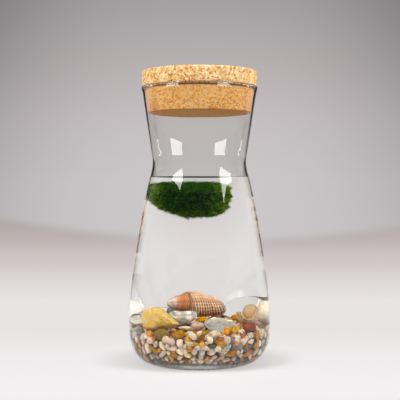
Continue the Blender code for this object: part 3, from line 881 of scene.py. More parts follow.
@dataclass
class MossBall:
    """Flattened bun of marimo: a dense dark body under short threads that gather in tufts."""

    centre: tuple[float, float] = (-5.6, 0.0)
    half_width: float = 23.0
    half_depth: float = 21.4
    top: float = 113.2
    bottom: float = 88.8
    widest: float = 106.0
    front_drop: float = 3.2
    thread: float = 4.4
    thickness: float = 0.17
    threads: int = 15000
    rim_threads: int = 13700
    tufts: int = 190

    def skin(self, way: Vector) -> Vector:
        """The point of the smooth outer form in a direction from the bun's middle.

        Args:
            way: a unit vector.

        Returns:
            The point, in millimetres.
        """
        level = min(1.0, abs(way.z))
        turn = math.atan2(way.y, way.x)
        if way.z > 0:
            part = level**0.55
            out = (1 - part**4) ** 0.5
            height = self.widest + (self.top - self.widest) * part
        else:
            part = level**0.85
            out = (1 - part**2) ** (0.5 - 0.3 * math.cos(turn))
            height = self.widest - (self.widest - self.bottom) * part
        if way.z > 0:
            height -= self.front_drop * max(0.0, -way.y) * part * (1 + 0.4 * min(0.0, way.x))
        lump = 0.985 + 0.035 * noise.noise(Vector((3.4 * way.x, 3.4 * way.y, 3.4 * way.z)))
        across = self.centre[0] + self.half_width * out * math.cos(turn) * lump
        along = self.centre[1] + self.half_depth * out * math.sin(turn) * lump
        return Vector((across, along, height))

    def body(self) -> Object:
        """The dense body below the threads' tips.

        Returns:
            The piece.
        """
        ball, faces = PebbleShapes().ball(5)
        middle = Vector((*self.centre, self.widest))
        points = []
        for spot in ball:
            edge = self.skin(Vector(spot).normalized())
            inward = (edge - middle).normalized()
            rough = noise.fractal(edge * 0.8, 1.0, 2.0, 4) * 0.8
            points.append(edge - inward * (0.7 * self.thread - rough))
        material = MarimoFilament(see_through=0.1).material()
        piece = mesh_piece("moss_body", np.array(points), faces, [material])
        store(piece, "to_tip", np.zeros(len(points)))
        return settle(piece, ["moss_ball"])

    def painted_rim_light(self, way: Vector) -> float:
        """How light the threads' tips are: painted light, most of all at the sides and low on the
        rim.

        Args:
            way: the direction of the threads from the bun's middle.

        Returns:
            The light from 0 to 1.
        """
        beside = min(1.0, max(0.0, (abs(way.x + 0.08) - 0.55) / 0.35))
        below = min(1.0, max(0.0, (-way.z - 0.35) / 0.45))
        patch = 0.5 + noise.noise(way * 5.0)
        return min(1.0, 0.4 + (1.4 * beside + 0.5 * below) * (0.5 + 0.9 * patch))

    def fringe(self) -> list[Object]:
        """The short threads all over, and the longer ones that gather in pointed tufts.

        Returns:
            The two pieces.
        """
        shuffle = random.Random(23)
        middle = Vector((*self.centre, self.widest))
        tuft_ways = [scattered(shuffle, 1).normalized() for _ in range(self.tufts)]
        tuft_table = np.array([way[:] for way in tuft_ways])
        tuft_reach = [shuffle.uniform(0.75, 1.0) for _ in tuft_ways]
        material = MarimoFilament().material()
        pieces = []
        for name, count, tufted in (
            ("moss_threads", self.threads, False), ("moss_tufts", self.rim_threads, True)
        ):
            points, faces, to_tip = [], [], []
            for _ in range(count):
                way = scattered(shuffle, 1).normalized()
                edge = self.skin(way)
                out = (edge - middle).normalized()
                root = edge - out * self.thread
                # Painted light: threads at the sides and low on the rim get lighter tips.
                light = self.painted_rim_light(way) * shuffle.uniform(0.5, 1.0)
                if shuffle.random() < 0.2:
                    light = shuffle.uniform(0.6, 0.9)
                if tufted:
                    nearest = int(np.argmax(tuft_table @ np.array(way[:])))
                    reach = tuft_reach[nearest] * shuffle.uniform(0.45, 1.0)
                    lean = (self.skin(tuft_ways[nearest]) - edge) * reach * 0.95
                    lean += scattered(shuffle, 0.15)
                else:
                    reach = shuffle.uniform(0.25, 0.55)
                    lean = scattered(shuffle, 0.9)
                tip = root + out * self.thread * reach + lean
                tip.z = min(tip.z, self.top + 0.2)
                bow = (root + tip) / 2 + scattered(shuffle, 0.3)
                self.add_thread(points, faces, to_tip, root, bow, tip, light)
            piece = mesh_piece(name, np.array(points), faces, [material])
            store(piece, "to_tip", np.array(to_tip))
            pieces.append(settle(piece, ["moss_ball"]))
        return pieces

    def add_thread(
        self, points: list, faces: list, to_tip: list, root: Vector, bow: Vector, tip: Vector,
        light: float
    ) -> None:
        """Adds one closed three-sided cone through three points.

        Args:
            points: the points so far, which get its own.
            faces: the faces so far, which get its own.
            to_tip: how light each point is, which gets its own.
            root: where it starts.
            bow: the point that it bends through.
            tip: where it ends.
            light: how light its tip is.
        """
        along = (tip - root).normalized()
        across = along.orthogonal().normalized()
        side = along.cross(across)
        first = len(points)
        for middle, width, share in ((root, 1.0, 0.12 * light), (bow, 0.75, 0.6 * light)):
            for k in range(3):
                angle = 2 * math.pi * k / 3
                away = across * math.cos(angle) + side * math.sin(angle)
                points.append(middle + away * self.thickness * width)
                to_tip.append(share)
        points.append(tip)
        to_tip.append(light)
        faces.append((first + 2, first + 1, first))
        for k in range(3):
            after = (k + 1) % 3
            faces.append((first + k, first + after, first + 3 + after, first + 3 + k))
            faces.append((first + 3 + k, first + 3 + after, first + 6))


@dataclass(frozen=True)
class Pebble:
    """One water-worn stone: its middle, half sizes, own axes in columns, kind and seed."""

    middle: np.ndarray
    half: np.ndarray
    axes: np.ndarray
    kind: StoneKind
    seed: int

    @property
    def volume(self) -> float:
        """Its volume in cubic millimetres, as that of an ellipsoid."""
        return 4.19 * self.half.prod()


def scattered(shuffle: random.Random, spread: float) -> Vector:
    """A random vector, as likely in one direction as in another."""
    return Vector([shuffle.gauss(0, spread) for _ in range(3)])


def block(middle: tuple | np.ndarray, half: tuple | np.ndarray, axes: np.ndarray) -> Pebble:
    """An ellipsoid that stands for another thing while the gravel settles."""
    return Pebble(np.array(middle), np.array(half), axes, CREAM, 0)


def turned_axes(degrees: Place) -> np.ndarray:
    """The axes, in columns, of a thing turned about X, Y and Z."""
    return np.array(Euler([math.radians(angle) for angle in degrees]).to_matrix())


@dataclass
class PebbleShapes:
    """Makes pebble skins: a ball with flats pressed in, then sized, turned and roughened."""

    swell: float = 0.04
    wears: int = 7
    facets: int = 6
    balls: dict[int, Skin] = field(default_factory=dict)

    def ball(self, detail: int) -> Skin:
        """A unit icosphere, made once for each detail.

        Args:
            detail: how many times it is divided.

        Returns:
            Its points and faces.
        """
        if detail not in self.balls:
            bm = bmesh.new()
            bmesh.ops.create_icosphere(bm, subdivisions=detail, radius=1.0)
            points = np.array([vert.co[:] for vert in bm.verts])
            faces = np.array([[vert.index for vert in face.verts] for face in bm.faces])
            bm.free()
            self.balls[detail] = (points, faces)
        return self.balls[detail]

    def skin(self, pebble: Pebble, detail: int) -> Skin:
        """Points and faces of one pebble.

        Args:
            pebble: the pebble.
            detail: how many times the ball is divided.

        Returns:
            The points in millimetres and the faces.
        """
        ball, faces = self.ball(detail)
        points = ball.copy()
        shuffle = random.Random(pebble.seed)
        for count, near, far, cut in (
            (self.wears, 0.72, 0.92, 0.85), (self.facets, 0.62, 0.82, 0.9)
        ):
            for _ in range(count):
                way = np.array(scattered(shuffle, 1).normalized())
                over = np.maximum(points @ way - shuffle.uniform(near, far), 0.0)
                points -= over[:, None] * way * cut
        points /= np.abs(points).max(axis=0)
        own = Vector((pebble.seed * 3.1, 1.7, 0.4))
        lumps = np.array([noise.noise(Vector(spot) * 2.1 + own) for spot in ball])
        points *= (1 - self.swell * (0.5 + 0.5 * lumps))[:, None]
        return (points * pebble.half) @ pebble.axes.T + pebble.middle, faces


def stones_mesh(
    name: str, stones: list[Pebble], details: list[int], finish: Material,
    painted_gap_shade: Callable[[np.ndarray], np.ndarray] | None = None
) -> Object:
    """One piece of several stones, each with a number of its own for the material.

    Args:
        name: the piece's name.
        stones: the stones.
        details: how finely each one is divided.
        finish: their material.
        painted_gap_shade: how much painted shade lies at each point, or None for stones without it.

    Returns:
        The piece.
    """
    shapes, offset = PebbleShapes(), 0
    points, faces, own = [], [], []
    for stone, detail in zip(stones, details):
        skin, around = shapes.skin(stone, detail)
        points.append(skin)
        faces.append(around + offset)
        own.append(np.full(len(skin), (stone.seed * 0.618) % 1.0))
        offset += len(skin)
    piece = mesh_piece(name, np.concatenate(points), np.concatenate(faces), [finish])
    store(piece, "own", np.concatenate(own))
    # Painted shade for the gaps, kept as a number at each point.
    if painted_gap_shade is not None:
        store(piece, "painted_gap_shade", painted_gap_shade(np.concatenate(points)))
    return piece


@dataclass
class LooseStones:
    """The larger stones that lie on the gravel, each in place of its own solid."""

    detail: int = 4
    slots: dict[StoneKind, str] = field(
        default_factory=lambda: {
            SLATE: "grey_stone", GREY: "grey_stone", TAN: "tan_stone", OLIVE: "ochre_stone",
            GOLD: "ochre_stone", BROWN: "brown_stone", CREAM: "cream_stone", PINK: "cream_stone",
            RED: "red_stone"
        }
    )

    def stones(self) -> dict[str, Pebble]:
        """The stones by name, with the solids' own places, half sizes, turns and kinds.

        Returns:
            The stones.
        """
        rows = {
            "grey_stone": ((-33.8, -19.6, 21.9), (4.3, 3.0, 3.2), (0, 10, -58), GREY),
            "orange_tan_pebble": ((-28.9, -28.2, 22.0), (3.1, 2.1, 2.4), (0, 8, -44), TAN),
            "olive_brown_pebble": ((-21.9, -32.9, 22.5), (5.2, 3.1, 3.7), (0, -10, -33), OLIVE),
            "brown_oval_pebble": ((-11.8, -36.6, 23.2), (4.6, 3.1, 2.9), (0, -14, -17), BROWN),
            "white_flat_pebble": ((-8.4, -28.2, 26.1), (3.9, 3.0, 1.4), (0, 5, 10), CREAM),
            "peach_pebble": ((-0.6, -27.0, 27.2), (3.5, 2.8, 3.1), (10, 20, 15), PINK),
            "tan_pebble": ((1.4, -14.2, 29.2), (3.4, 3.0, 2.7), (0, 12, 20), GOLD),
            "large_white_pebble": ((8.4, -37.0, 23.3), (3.6, 2.6, 2.6), (0, 20, 12), CREAM),
            "upright_orange_pebble": ((15.7, -35.0, 24.9), (1.9, 1.9, 2.8), (0, 6, 25), TAN),
            "olive_gold_pebble": ((20.8, -31.4, 25.5), (2.8, 2.3, 2.0), (0, -20, 33), GOLD),
            "red_stone": ((28.6, -23.4, 25.3), (5.2, 3.4, 3.1), (0, 8, 40), RED),
            "orange_chip": ((17.0, 3.0, 29.0), (3.6, 2.2, 1.7), (0, -18, 20), TAN),
            "back_slate_stone": ((-8.0, 29.0, 26.0), (6.5, 3.6, 3.0), (0, 6, 14), SLATE),
            "back_cream_pebble": ((6.5, 35.0, 24.0), (4.2, 3.0, 2.8), (0, -8, -12), CREAM),
            "back_brown_pebble": ((-27.0, 27.5, 24.2), (4.6, 3.2, 2.9), (0, 10, 44), BROWN)
        }
        return {
            name: Pebble(np.array(middle), np.array(half), turned_axes(turn), kind, seed)
            for seed, (name, (middle, half, turn, kind)) in enumerate(rows.items())
        }

    def build(self) -> list[Pebble]:
        """Builds each stone.

        Returns:
            The stones, for the gravel to lie against.
        """
        stones = self.stones()
        for name, stone in stones.items():
            finish = STONE_FINISHES[stone.kind].material()
            piece = stones_mesh(f"worn_{name}", [stone], [self.detail], finish)
            settle(piece, [name])
        return list(stones.values())


@dataclass
class GravelBed:
    """Loose gravel: pebbles packed against the glass and each other, mounded in the middle."""

    carafe: Carafe
    edge: float = 21.0
    mound: float = 7.5
    proud: float = 0.9
    fill: float = 0.66
    rounds: int = 150
    seed: int = 5
    clearance: float = 0.1
    smallest: float = 1.35
    size_range: float = 1.9
    proportions: tuple[tuple[float, float], ...] = ((1.05, 1.45), (0.85, 1.05), (0.62, 0.85))
    touching: float = 0.97
    shove: float = 0.32
    sink: float = 0.10
    seen_through: float = 2.2
    seen_under: float = 3.5
    shares: tuple[float, ...] = (0.27, 0.20, 0.11, 0.12, 0.07, 0.05, 0.08, 0.05, 0.03, 0.02)
    """How common each kind of stone is, for the first ones of StoneKind in their order."""

    def top(self, radius: float | np.ndarray) -> float | np.ndarray:
        """Height of the gravel's top at a distance from the axis."""
        full = self.carafe.inner_radius(self.edge)
        return self.edge + self.mound * (1 - (np.minimum(radius, full) / full) ** 2)

    def painted_gap_shade(self, points: np.ndarray) -> np.ndarray:
        """Painted shade between the pebbles and where they lie on the floor: none at the glass and
        on top.

        Args:
            points: points in millimetres.

        Returns:
            A share from 0 to 0.85 for each point.
        """
        heights = np.linspace(self.carafe.floor, 40.0, 141)
        reaches = np.array([self.carafe.inner_radius(height) for height in heights])
        out = np.hypot(points[:, 0], points[:, 1])
        from_glass = np.interp(points[:, 2], heights, reaches) - out
        below = self.top(out) + self.proud - points[:, 2]
        # Painted shade deepens away from the glass and below the bed's top.
        depth = np.minimum(from_glass, below - 2.0)
        # Painted shade also darkens the pebbles low down, where they lie on the floor.
        settled = (self.carafe.floor + 2.8 - points[:, 2]) / 1.8
        return 0.85 * np.clip(np.maximum((depth - 0.6) / 2.4, settled), 0.0, 1.0)

    def wall_place(self, azimuth: float, height: float) -> tuple[np.ndarray, np.ndarray]:
        """A place on the glass's inner face.

        Args:
            azimuth: degrees round from the front, to the right.
            height: height above the table.

        Returns:
            The point, and its sideways, upward and outward directions in columns.
        """
        turn = math.radians(azimuth)
        radial = np.array([math.sin(turn), -math.cos(turn), 0.0])
        sideways = np.array([math.cos(turn), math.sin(turn), 0.0])
        rise = np.array([0.0, 0.0, 0.6])
        run = self.carafe.inner_radius(height + 0.3) - self.carafe.inner_radius(height - 0.3)
        up = radial * run + rise
        up /= np.linalg.norm(up)
        point = radial * self.carafe.inner_radius(height) + np.array([0.0, 0.0, height])
        return point, np.column_stack([sideways, up, np.cross(sideways, up)])

    def front_pebbles(self) -> list[Pebble]:
        """The pebbles that lie against the glass in front.

        Each has its azimuth, height, half length, half width, tilt in degrees and kind.

        Returns:
            The pebbles.
        """
        rows = (
            (3.9, 24.6, 2.1, 1.5, 0, OLIVE), (-4.5, 22.4, 2.6, 2.0, 10, CREAM),
            (1.9, 21.9, 2.2, 1.8, 30, BROWN), (-9.5, 19.7, 2.9, 2.1, 80, GOLD),
            (-3.0, 17.5, 2.3, 2.1, 0, GOLD), (2.5, 17.8, 2.1, 2.0, 0, GOLD),
            (8.3, 20.4, 2.6, 2.0, 110, CREAM), (13.5, 19.3, 1.5, 1.2, 90, BROWN),
            (10.1, 16.4, 3.5, 1.4, 0, GREEN), (-8.0, 14.7, 2.3, 2.0, 90, TAN),
            (10.3, 12.3, 3.3, 2.5, 0, PINK), (21.8, 13.3, 5.6, 3.0, 46, GRANITE),
            (27.2, 19.1, 2.7, 1.9, 90, MAUVE), (35.9, 15.7, 4.0, 3.3, 60, MAUVE),
            (32.5, 21.3, 2.1, 1.7, 0, CREAM), (37.7, 21.6, 2.4, 2.0, 0, TAN),
            (45.6, 21.2, 2.8, 2.2, 0, GRANITE), (46.8, 17.4, 3.2, 1.6, 0, CREAM),
            (45.5, 12.8, 5.2, 3.2, 40, SLATE), (48.2, 9.6, 4.0, 1.8, 15, TAN),
            (29.8, 10.9, 4.0, 2.9, 40, TAN), (38.7, 9.4, 2.4, 2.2, 0, GRANITE),
            (55.2, 19.6, 3.6, 1.7, 90, TAN), (63.4, 20.6, 3.6, 2.6, 60, CREAM),
            (2.2, 11.5, 4.6, 2.1, 80, GRANITE), (-4.2, 12.6, 2.8, 1.9, 80, PINK),
            (-10.4, 10.1, 2.4, 2.2, 0, SAND), (7.0, 8.8, 2.2, 1.7, 60, TAN),
            (19.2, 8.4, 4.0, 1.8, 40, PINK), (26.5, 7.2, 3.0, 2.0, 0, PINK),
            (29.7, 25.2, 2.0, 1.6, 0, GOLD), (36.2, 24.6, 2.2, 1.5, 0, GRANITE),
            (-44.9, 18.0, 3.2, 2.7, 0, PINK), (-53.6, 16.6, 2.6, 2.3, 40, PINK),
            (-61.0, 13.7, 2.8, 1.7, 100, TAN), (-57.2, 10.8, 3.3, 2.4, 70, PINK),
            (-38.3, 16.5, 2.6, 1.9, 60, CREAM), (-32.2, 15.5, 3.3, 2.3, 120, CREAM),
            (-23.3, 18.5, 2.9, 2.3, 150, PINK), (-16.2, 18.0, 2.7, 2.1, 90, PINK),
            (-42.5, 12.2, 4.2, 2.3, 150, BROWN), (-34.1, 10.4, 4.8, 1.7, 40, CREAM),
            (-23.1, 14.3, 3.5, 2.0, 25, PINK), (-22.7, 10.4, 2.4, 1.7, 160, TAN),
            (-17.1, 12.4, 3.0, 2.0, 130, CREAM), (-18.4, 8.8, 2.7, 1.8, 20, CREAM),
            (-11.9, 16.4, 1.6, 1.4, 0, CREAM), (-5.7, 8.4, 2.3, 1.8, 0, PINK)
        )
        stones = []
        for seed, (azimuth, height, length, width, tilt, kind) in enumerate(rows, 100):
            point, frame_axes = self.wall_place(azimuth, height)
            lean = math.radians(tilt)
            cos, sin = math.cos(lean), math.sin(lean)
            turn = np.array([[cos, -sin, 0], [sin, cos, 0], [0, 0, 1]])
            deep = min(0.8 * width + 0.3, 2.8)
            middle = point - frame_axes[:, 2] * (deep + self.clearance)
            half = np.array([length, width, deep])
            stones.append(Pebble(middle, half, frame_axes @ turn, kind, seed))
        return stones

    def random_pebble(self, shuffle: random.Random, seed: int) -> Pebble:
        """A pebble anywhere in the bed, flat against the glass if it is near it.

        Args:
            shuffle: gives its size, place, turn and kind.
            seed: the pebble's own seed.

        Returns:
            The pebble.
        """
        full = self.carafe.belly_radius - self.carafe.wall - 2
        out = full * math.sqrt(shuffle.random())
        azimuth = shuffle.uniform(-180, 180)
        height = shuffle.uniform(self.carafe.floor + 2, self.top(out))
        _, wall_axes = self.wall_place(azimuth, max(height, self.carafe.floor + 1))
        size = self.smallest + self.size_range * shuffle.random() ** 1.4
        half = np.array([size * shuffle.uniform(low, high) for low, high in self.proportions])
        near_wall = out > full - 5
        lean = [shuffle.gauss(0, 18), shuffle.gauss(0, 18), shuffle.uniform(0, 360)]
        if not near_wall:
            lean = [shuffle.uniform(0, 360) for _ in range(3)]
        kind = shuffle.choices(list(StoneKind)[: len(self.shares)], self.shares)[0]
        turn = math.radians(azimuth)
        middle = np.array([out * math.sin(turn), -out * math.cos(turn), height])
        return Pebble(middle, half, wall_axes @ turned_axes(tuple(lean)), kind, seed)

    def container(self) -> tuple[np.ndarray, np.ndarray]:
        """Flat faces that together hold the gravel in.

        Returns:
            The faces' outward (radius, height) ways, and how far each lies from the origin.
        """
        ways, reaches = [(0.0, -1.0)], [-self.carafe.floor]
        for rise in (0.2, 0.6, 1.3, 2.4, 4.0, 6.0, 8.5, 11.5, 15.0, 17.9, 22.0, 28.0, 35.0):
            height = self.carafe.floor + rise
            run = self.carafe.inner_radius(height + 0.15) - self.carafe.inner_radius(height - 0.15)
            way = np.array([0.3, -run]) / math.hypot(0.3, run)
            ways.append(tuple(way))
            reaches.append(way[0] * self.carafe.inner_radius(height) + way[1] * height)
        return np.array(ways), np.array(reaches) - self.clearance

    def keep_in(
        self, middles: np.ndarray, halves: np.ndarray, axes: np.ndarray
    ) -> tuple[np.ndarray, np.ndarray]:
        """Pushes pebbles in from the glass and down from above the bed.

        Args:
            middles: the pebbles' middles.
            halves: their half sizes.
            axes: their own axes, in columns.

        Returns:
            The moved middles, and how far each pebble is from the glass.
        """
        ways, reaches = self.container()
        out = np.hypot(middles[:, 0], middles[:, 1]) + 1e-9
        radial = middles[:, :2] / out[:, None]
        spare = np.full(len(middles), 1e9)
        for (across, up), reach in zip(ways, reaches):
            way = np.column_stack([radial * across, np.full(len(middles), up)])
            local = np.einsum("ni,nij->nj", way, axes) * halves
            over = (middles * way).sum(1) + np.sqrt((local**2).sum(1)) - reach
            middles = middles - way * np.maximum(over, 0.0)[:, None]
            spare = np.minimum(spare, -over)
        local = axes[:, 2, :] * halves
        tall = np.sqrt((local**2).sum(1))
        over = middles[:, 2] + tall - (self.top(out) + self.proud)
        middles[:, 2] -= np.maximum(over, 0.0)
        return middles, spare

    def settled(self, fixed: list[Pebble], loose: list[Pebble]) -> tuple[list[Pebble], np.ndarray]:
        """Pushes the loose pebbles apart and down until they lie against each other.

        Args:
            fixed: stones that stay where they are.
            loose: pebbles that move.

        Returns:
            The loose pebbles in their new places, and how far each is from the glass.
        """
        both = fixed + loose
        middles = np.array([stone.middle for stone in both])
        halves = np.array([stone.half for stone in both])
        axes = np.array([stone.axes for stone in both])
        free = np.arange(len(both)) >= len(fixed)
        widest = halves.max(axis=1)

        def extent(rows: np.ndarray, ways: np.ndarray) -> np.ndarray:
            """How far pebbles reach along a way, between their support and their radius.

            Args:
                rows: the pebbles' numbers.
                ways: a unit vector for each.

            Returns:
                The reach of each.
            """
            local = np.einsum("ni,nij->nj", ways, axes[rows])
            support = np.sqrt(((local * halves[rows]) ** 2).sum(1))
            radius = 1 / np.sqrt(((local / halves[rows]) ** 2).sum(1))
            return (support + radius) / 2

        for step in range(self.rounds):
            if step % 10 == 0:
                apart = np.linalg.norm(middles[:, None] - middles[None], axis=2)
                close = np.triu(apart < widest[:, None] + widest[None] + 1.5, 1)
                first, second = np.nonzero(close & (free[:, None] | free[None]))
            between = middles[second] - middles[first]
            distance = np.linalg.norm(between, axis=1) + 1e-9
            ways = between / distance[:, None]
            over = self.touching * (extent(first, ways) + extent(second, ways)) - distance
            push = ways * np.maximum(over, 0.0)[:, None] * self.shove
            np.add.at(middles, first, -push * (free[first] * (2.0 - free[second]))[:, None])
            np.add.at(middles, second, push * (free[second] * (2.0 - free[first]))[:, None])
            middles[free, 2] -= self.sink * (1 - step / self.rounds)
            middles[free], spare = self.keep_in(middles[free], halves[free], axes[free])
        placed = [
            Pebble(middle, stone.half, stone.axes, stone.kind, stone.seed)
            for middle, stone in zip(middles[free], loose)
        ]
        return placed, spare

    def build(self, lying: list[Pebble], blocks: list[Pebble]) -> None:
        """Packs the gravel round what lies in it and builds one piece for each kind of stone.

        Args:
            lying: the larger stones.
            blocks: ellipsoids that stand for the shells, nuggets and the yellow stone.
        """
        shuffle = random.Random(self.seed)
        front = self.front_pebbles()
        room = 0.0
        for height in np.arange(self.carafe.floor, self.edge, 0.5):
            room += math.pi * self.carafe.inner_radius(height) ** 2 * 0.5
        room += math.pi * self.carafe.inner_radius(self.edge) ** 2 * self.mound / 2
        filled = sum(stone.volume for stone in front)
        loose = []
        while filled < self.fill * room:
            loose.append(self.random_pebble(shuffle, 1000 + len(loose)))
            filled += loose[-1].volume
        placed, spare = self.settled(lying + blocks + front, loose)
        LOG.info("gravel: %d loose pebbles and %d at the front", len(placed), len(front))
        groups: dict[StoneKind, list[tuple[Pebble, int]]] = {}
        for stone in front:
            groups.setdefault(stone.kind, []).append((stone, 4))
        for stone, gap in zip(placed, spare):
            out = math.hypot(stone.middle[0], stone.middle[1])
            seen = gap < self.seen_through or self.top(out) - stone.middle[2] < self.seen_under
            groups.setdefault(stone.kind, []).append((stone, 3 if seen else 2))
        for kind, rows in groups.items():
            finish = STONE_FINISHES[kind].material()
            name = f"gravel_{kind.value}"
            stones, details = [row[0] for row in rows], [row[1] for row in rows]
            piece = stones_mesh(name, stones, details, finish, self.painted_gap_shade)
            settle(piece, ["gravel_bed"])


def catmull(rows: Sequence[tuple[float, ...]], count: int) -> np.ndarray:
    """Points on a smooth curve through rows of numbers, evenly spread over its spans.

    Args:
        rows: the rows that it goes through.
        count: how many points it gets.

    Returns:
        The points.
    """
    table = np.array(rows, float)
    table = np.vstack([2 * table[0] - table[1], table, 2 * table[-1] - table[-2]])
    made = []
    for place in np.linspace(0, len(rows) - 1.000001, count):
        i, u = int(place), place - int(place)
        a, b, c, d = table[i : i + 4]
        square, cube = 2 * a - 5 * b + 4 * c - d, 3 * b - a - 3 * c + d
        made.append(0.5 * (2 * b + (c - a) * u + square * u**2 + cube * u**3))
    return np.array(made)


@dataclass
class GlassNuggets:
    """Clear glass nuggets with a flat base, a round edge and a low dome.

    All but one carry a lustre on the side that lies down.
    """

    around: int = 64
    rows: int = 36
    section: tuple[tuple[float, float], ...] = (
        (0.0, -1.0), (0.42, -1.0), (0.84, -0.97), (1.0, -0.6), (0.93, 0.05), (0.62, 0.72),
        (0.3, 0.95), (0.0, 1.0)
    )
    places: dict[str, tuple] = field(
        default_factory=lambda: {
            "nugget_bowl": ((-8.4, -16.0, 31.2), 7.4, 7.2, (174, -1, 0)),
            "nugget_front": ((11.4, -22.6, 29.0), 8.6, 7.0, (16, 8, 0)),
            "nugget_back_disc": ((17.5, 21.0, 30.8), 10.0, 7.4, (58, 0, -24)),
            "nugget_left_upper": ((-33.4, -5.4, 28.9), 6.0, 4.6, (9, -7, 0)),
            "nugget_left_lower": ((-33.6, -9.8, 23.0), 5.6, 4.4, (9, -7, 0)),
            "nugget_back_left": ((-15.0, 16.5, 30.2), 8.2, 6.4, (-10, 8, 20))
        }
    )
    without_lustre: str = "nugget_back_disc"

    def build(self) -> list[Pebble]:
        """Builds the nuggets.

        Returns:
            Ellipsoids of their size.
        """
        blocks = []
        lustred, plain = LUSTRED_NUGGET.material(), PLAIN_NUGGET.material()
        for seed, (name, (middle, radius, thickness, turn)) in enumerate(self.places.items()):
            line = catmull(self.section, self.rows)
            line[0], line[-1] = self.section[0], self.section[-1]
            line[1:-1, 0] = np.maximum(line[1:-1, 0], 0.01)
            outline = [(radius * out, thickness / 2 * up) for out, up in line]
            points, faces, _ = turned(outline, self.around)
            base = points[:, 2] < -0.4 * thickness
            film = ~base if abs(turn[0]) > 90 else base
            wobble = [
                1 + 0.02 * noise.noise(Vector(point) * 0.16 + Vector((seed * 5.0, 0, 0)))
                for point in points
            ]
            axes = turned_axes(turn)
            points = (points * np.array(wobble)[:, None]) @ axes.T + np.array(middle)
            glass = plain if name == self.without_lustre else lustred
            piece = mesh_piece(f"glass_{name}", points, faces, [glass])
            store(piece, "film", film.astype(float))
            settle(piece, [name])
            blocks.append(block(middle, (radius, radius, thickness / 2), axes))
        return blocks


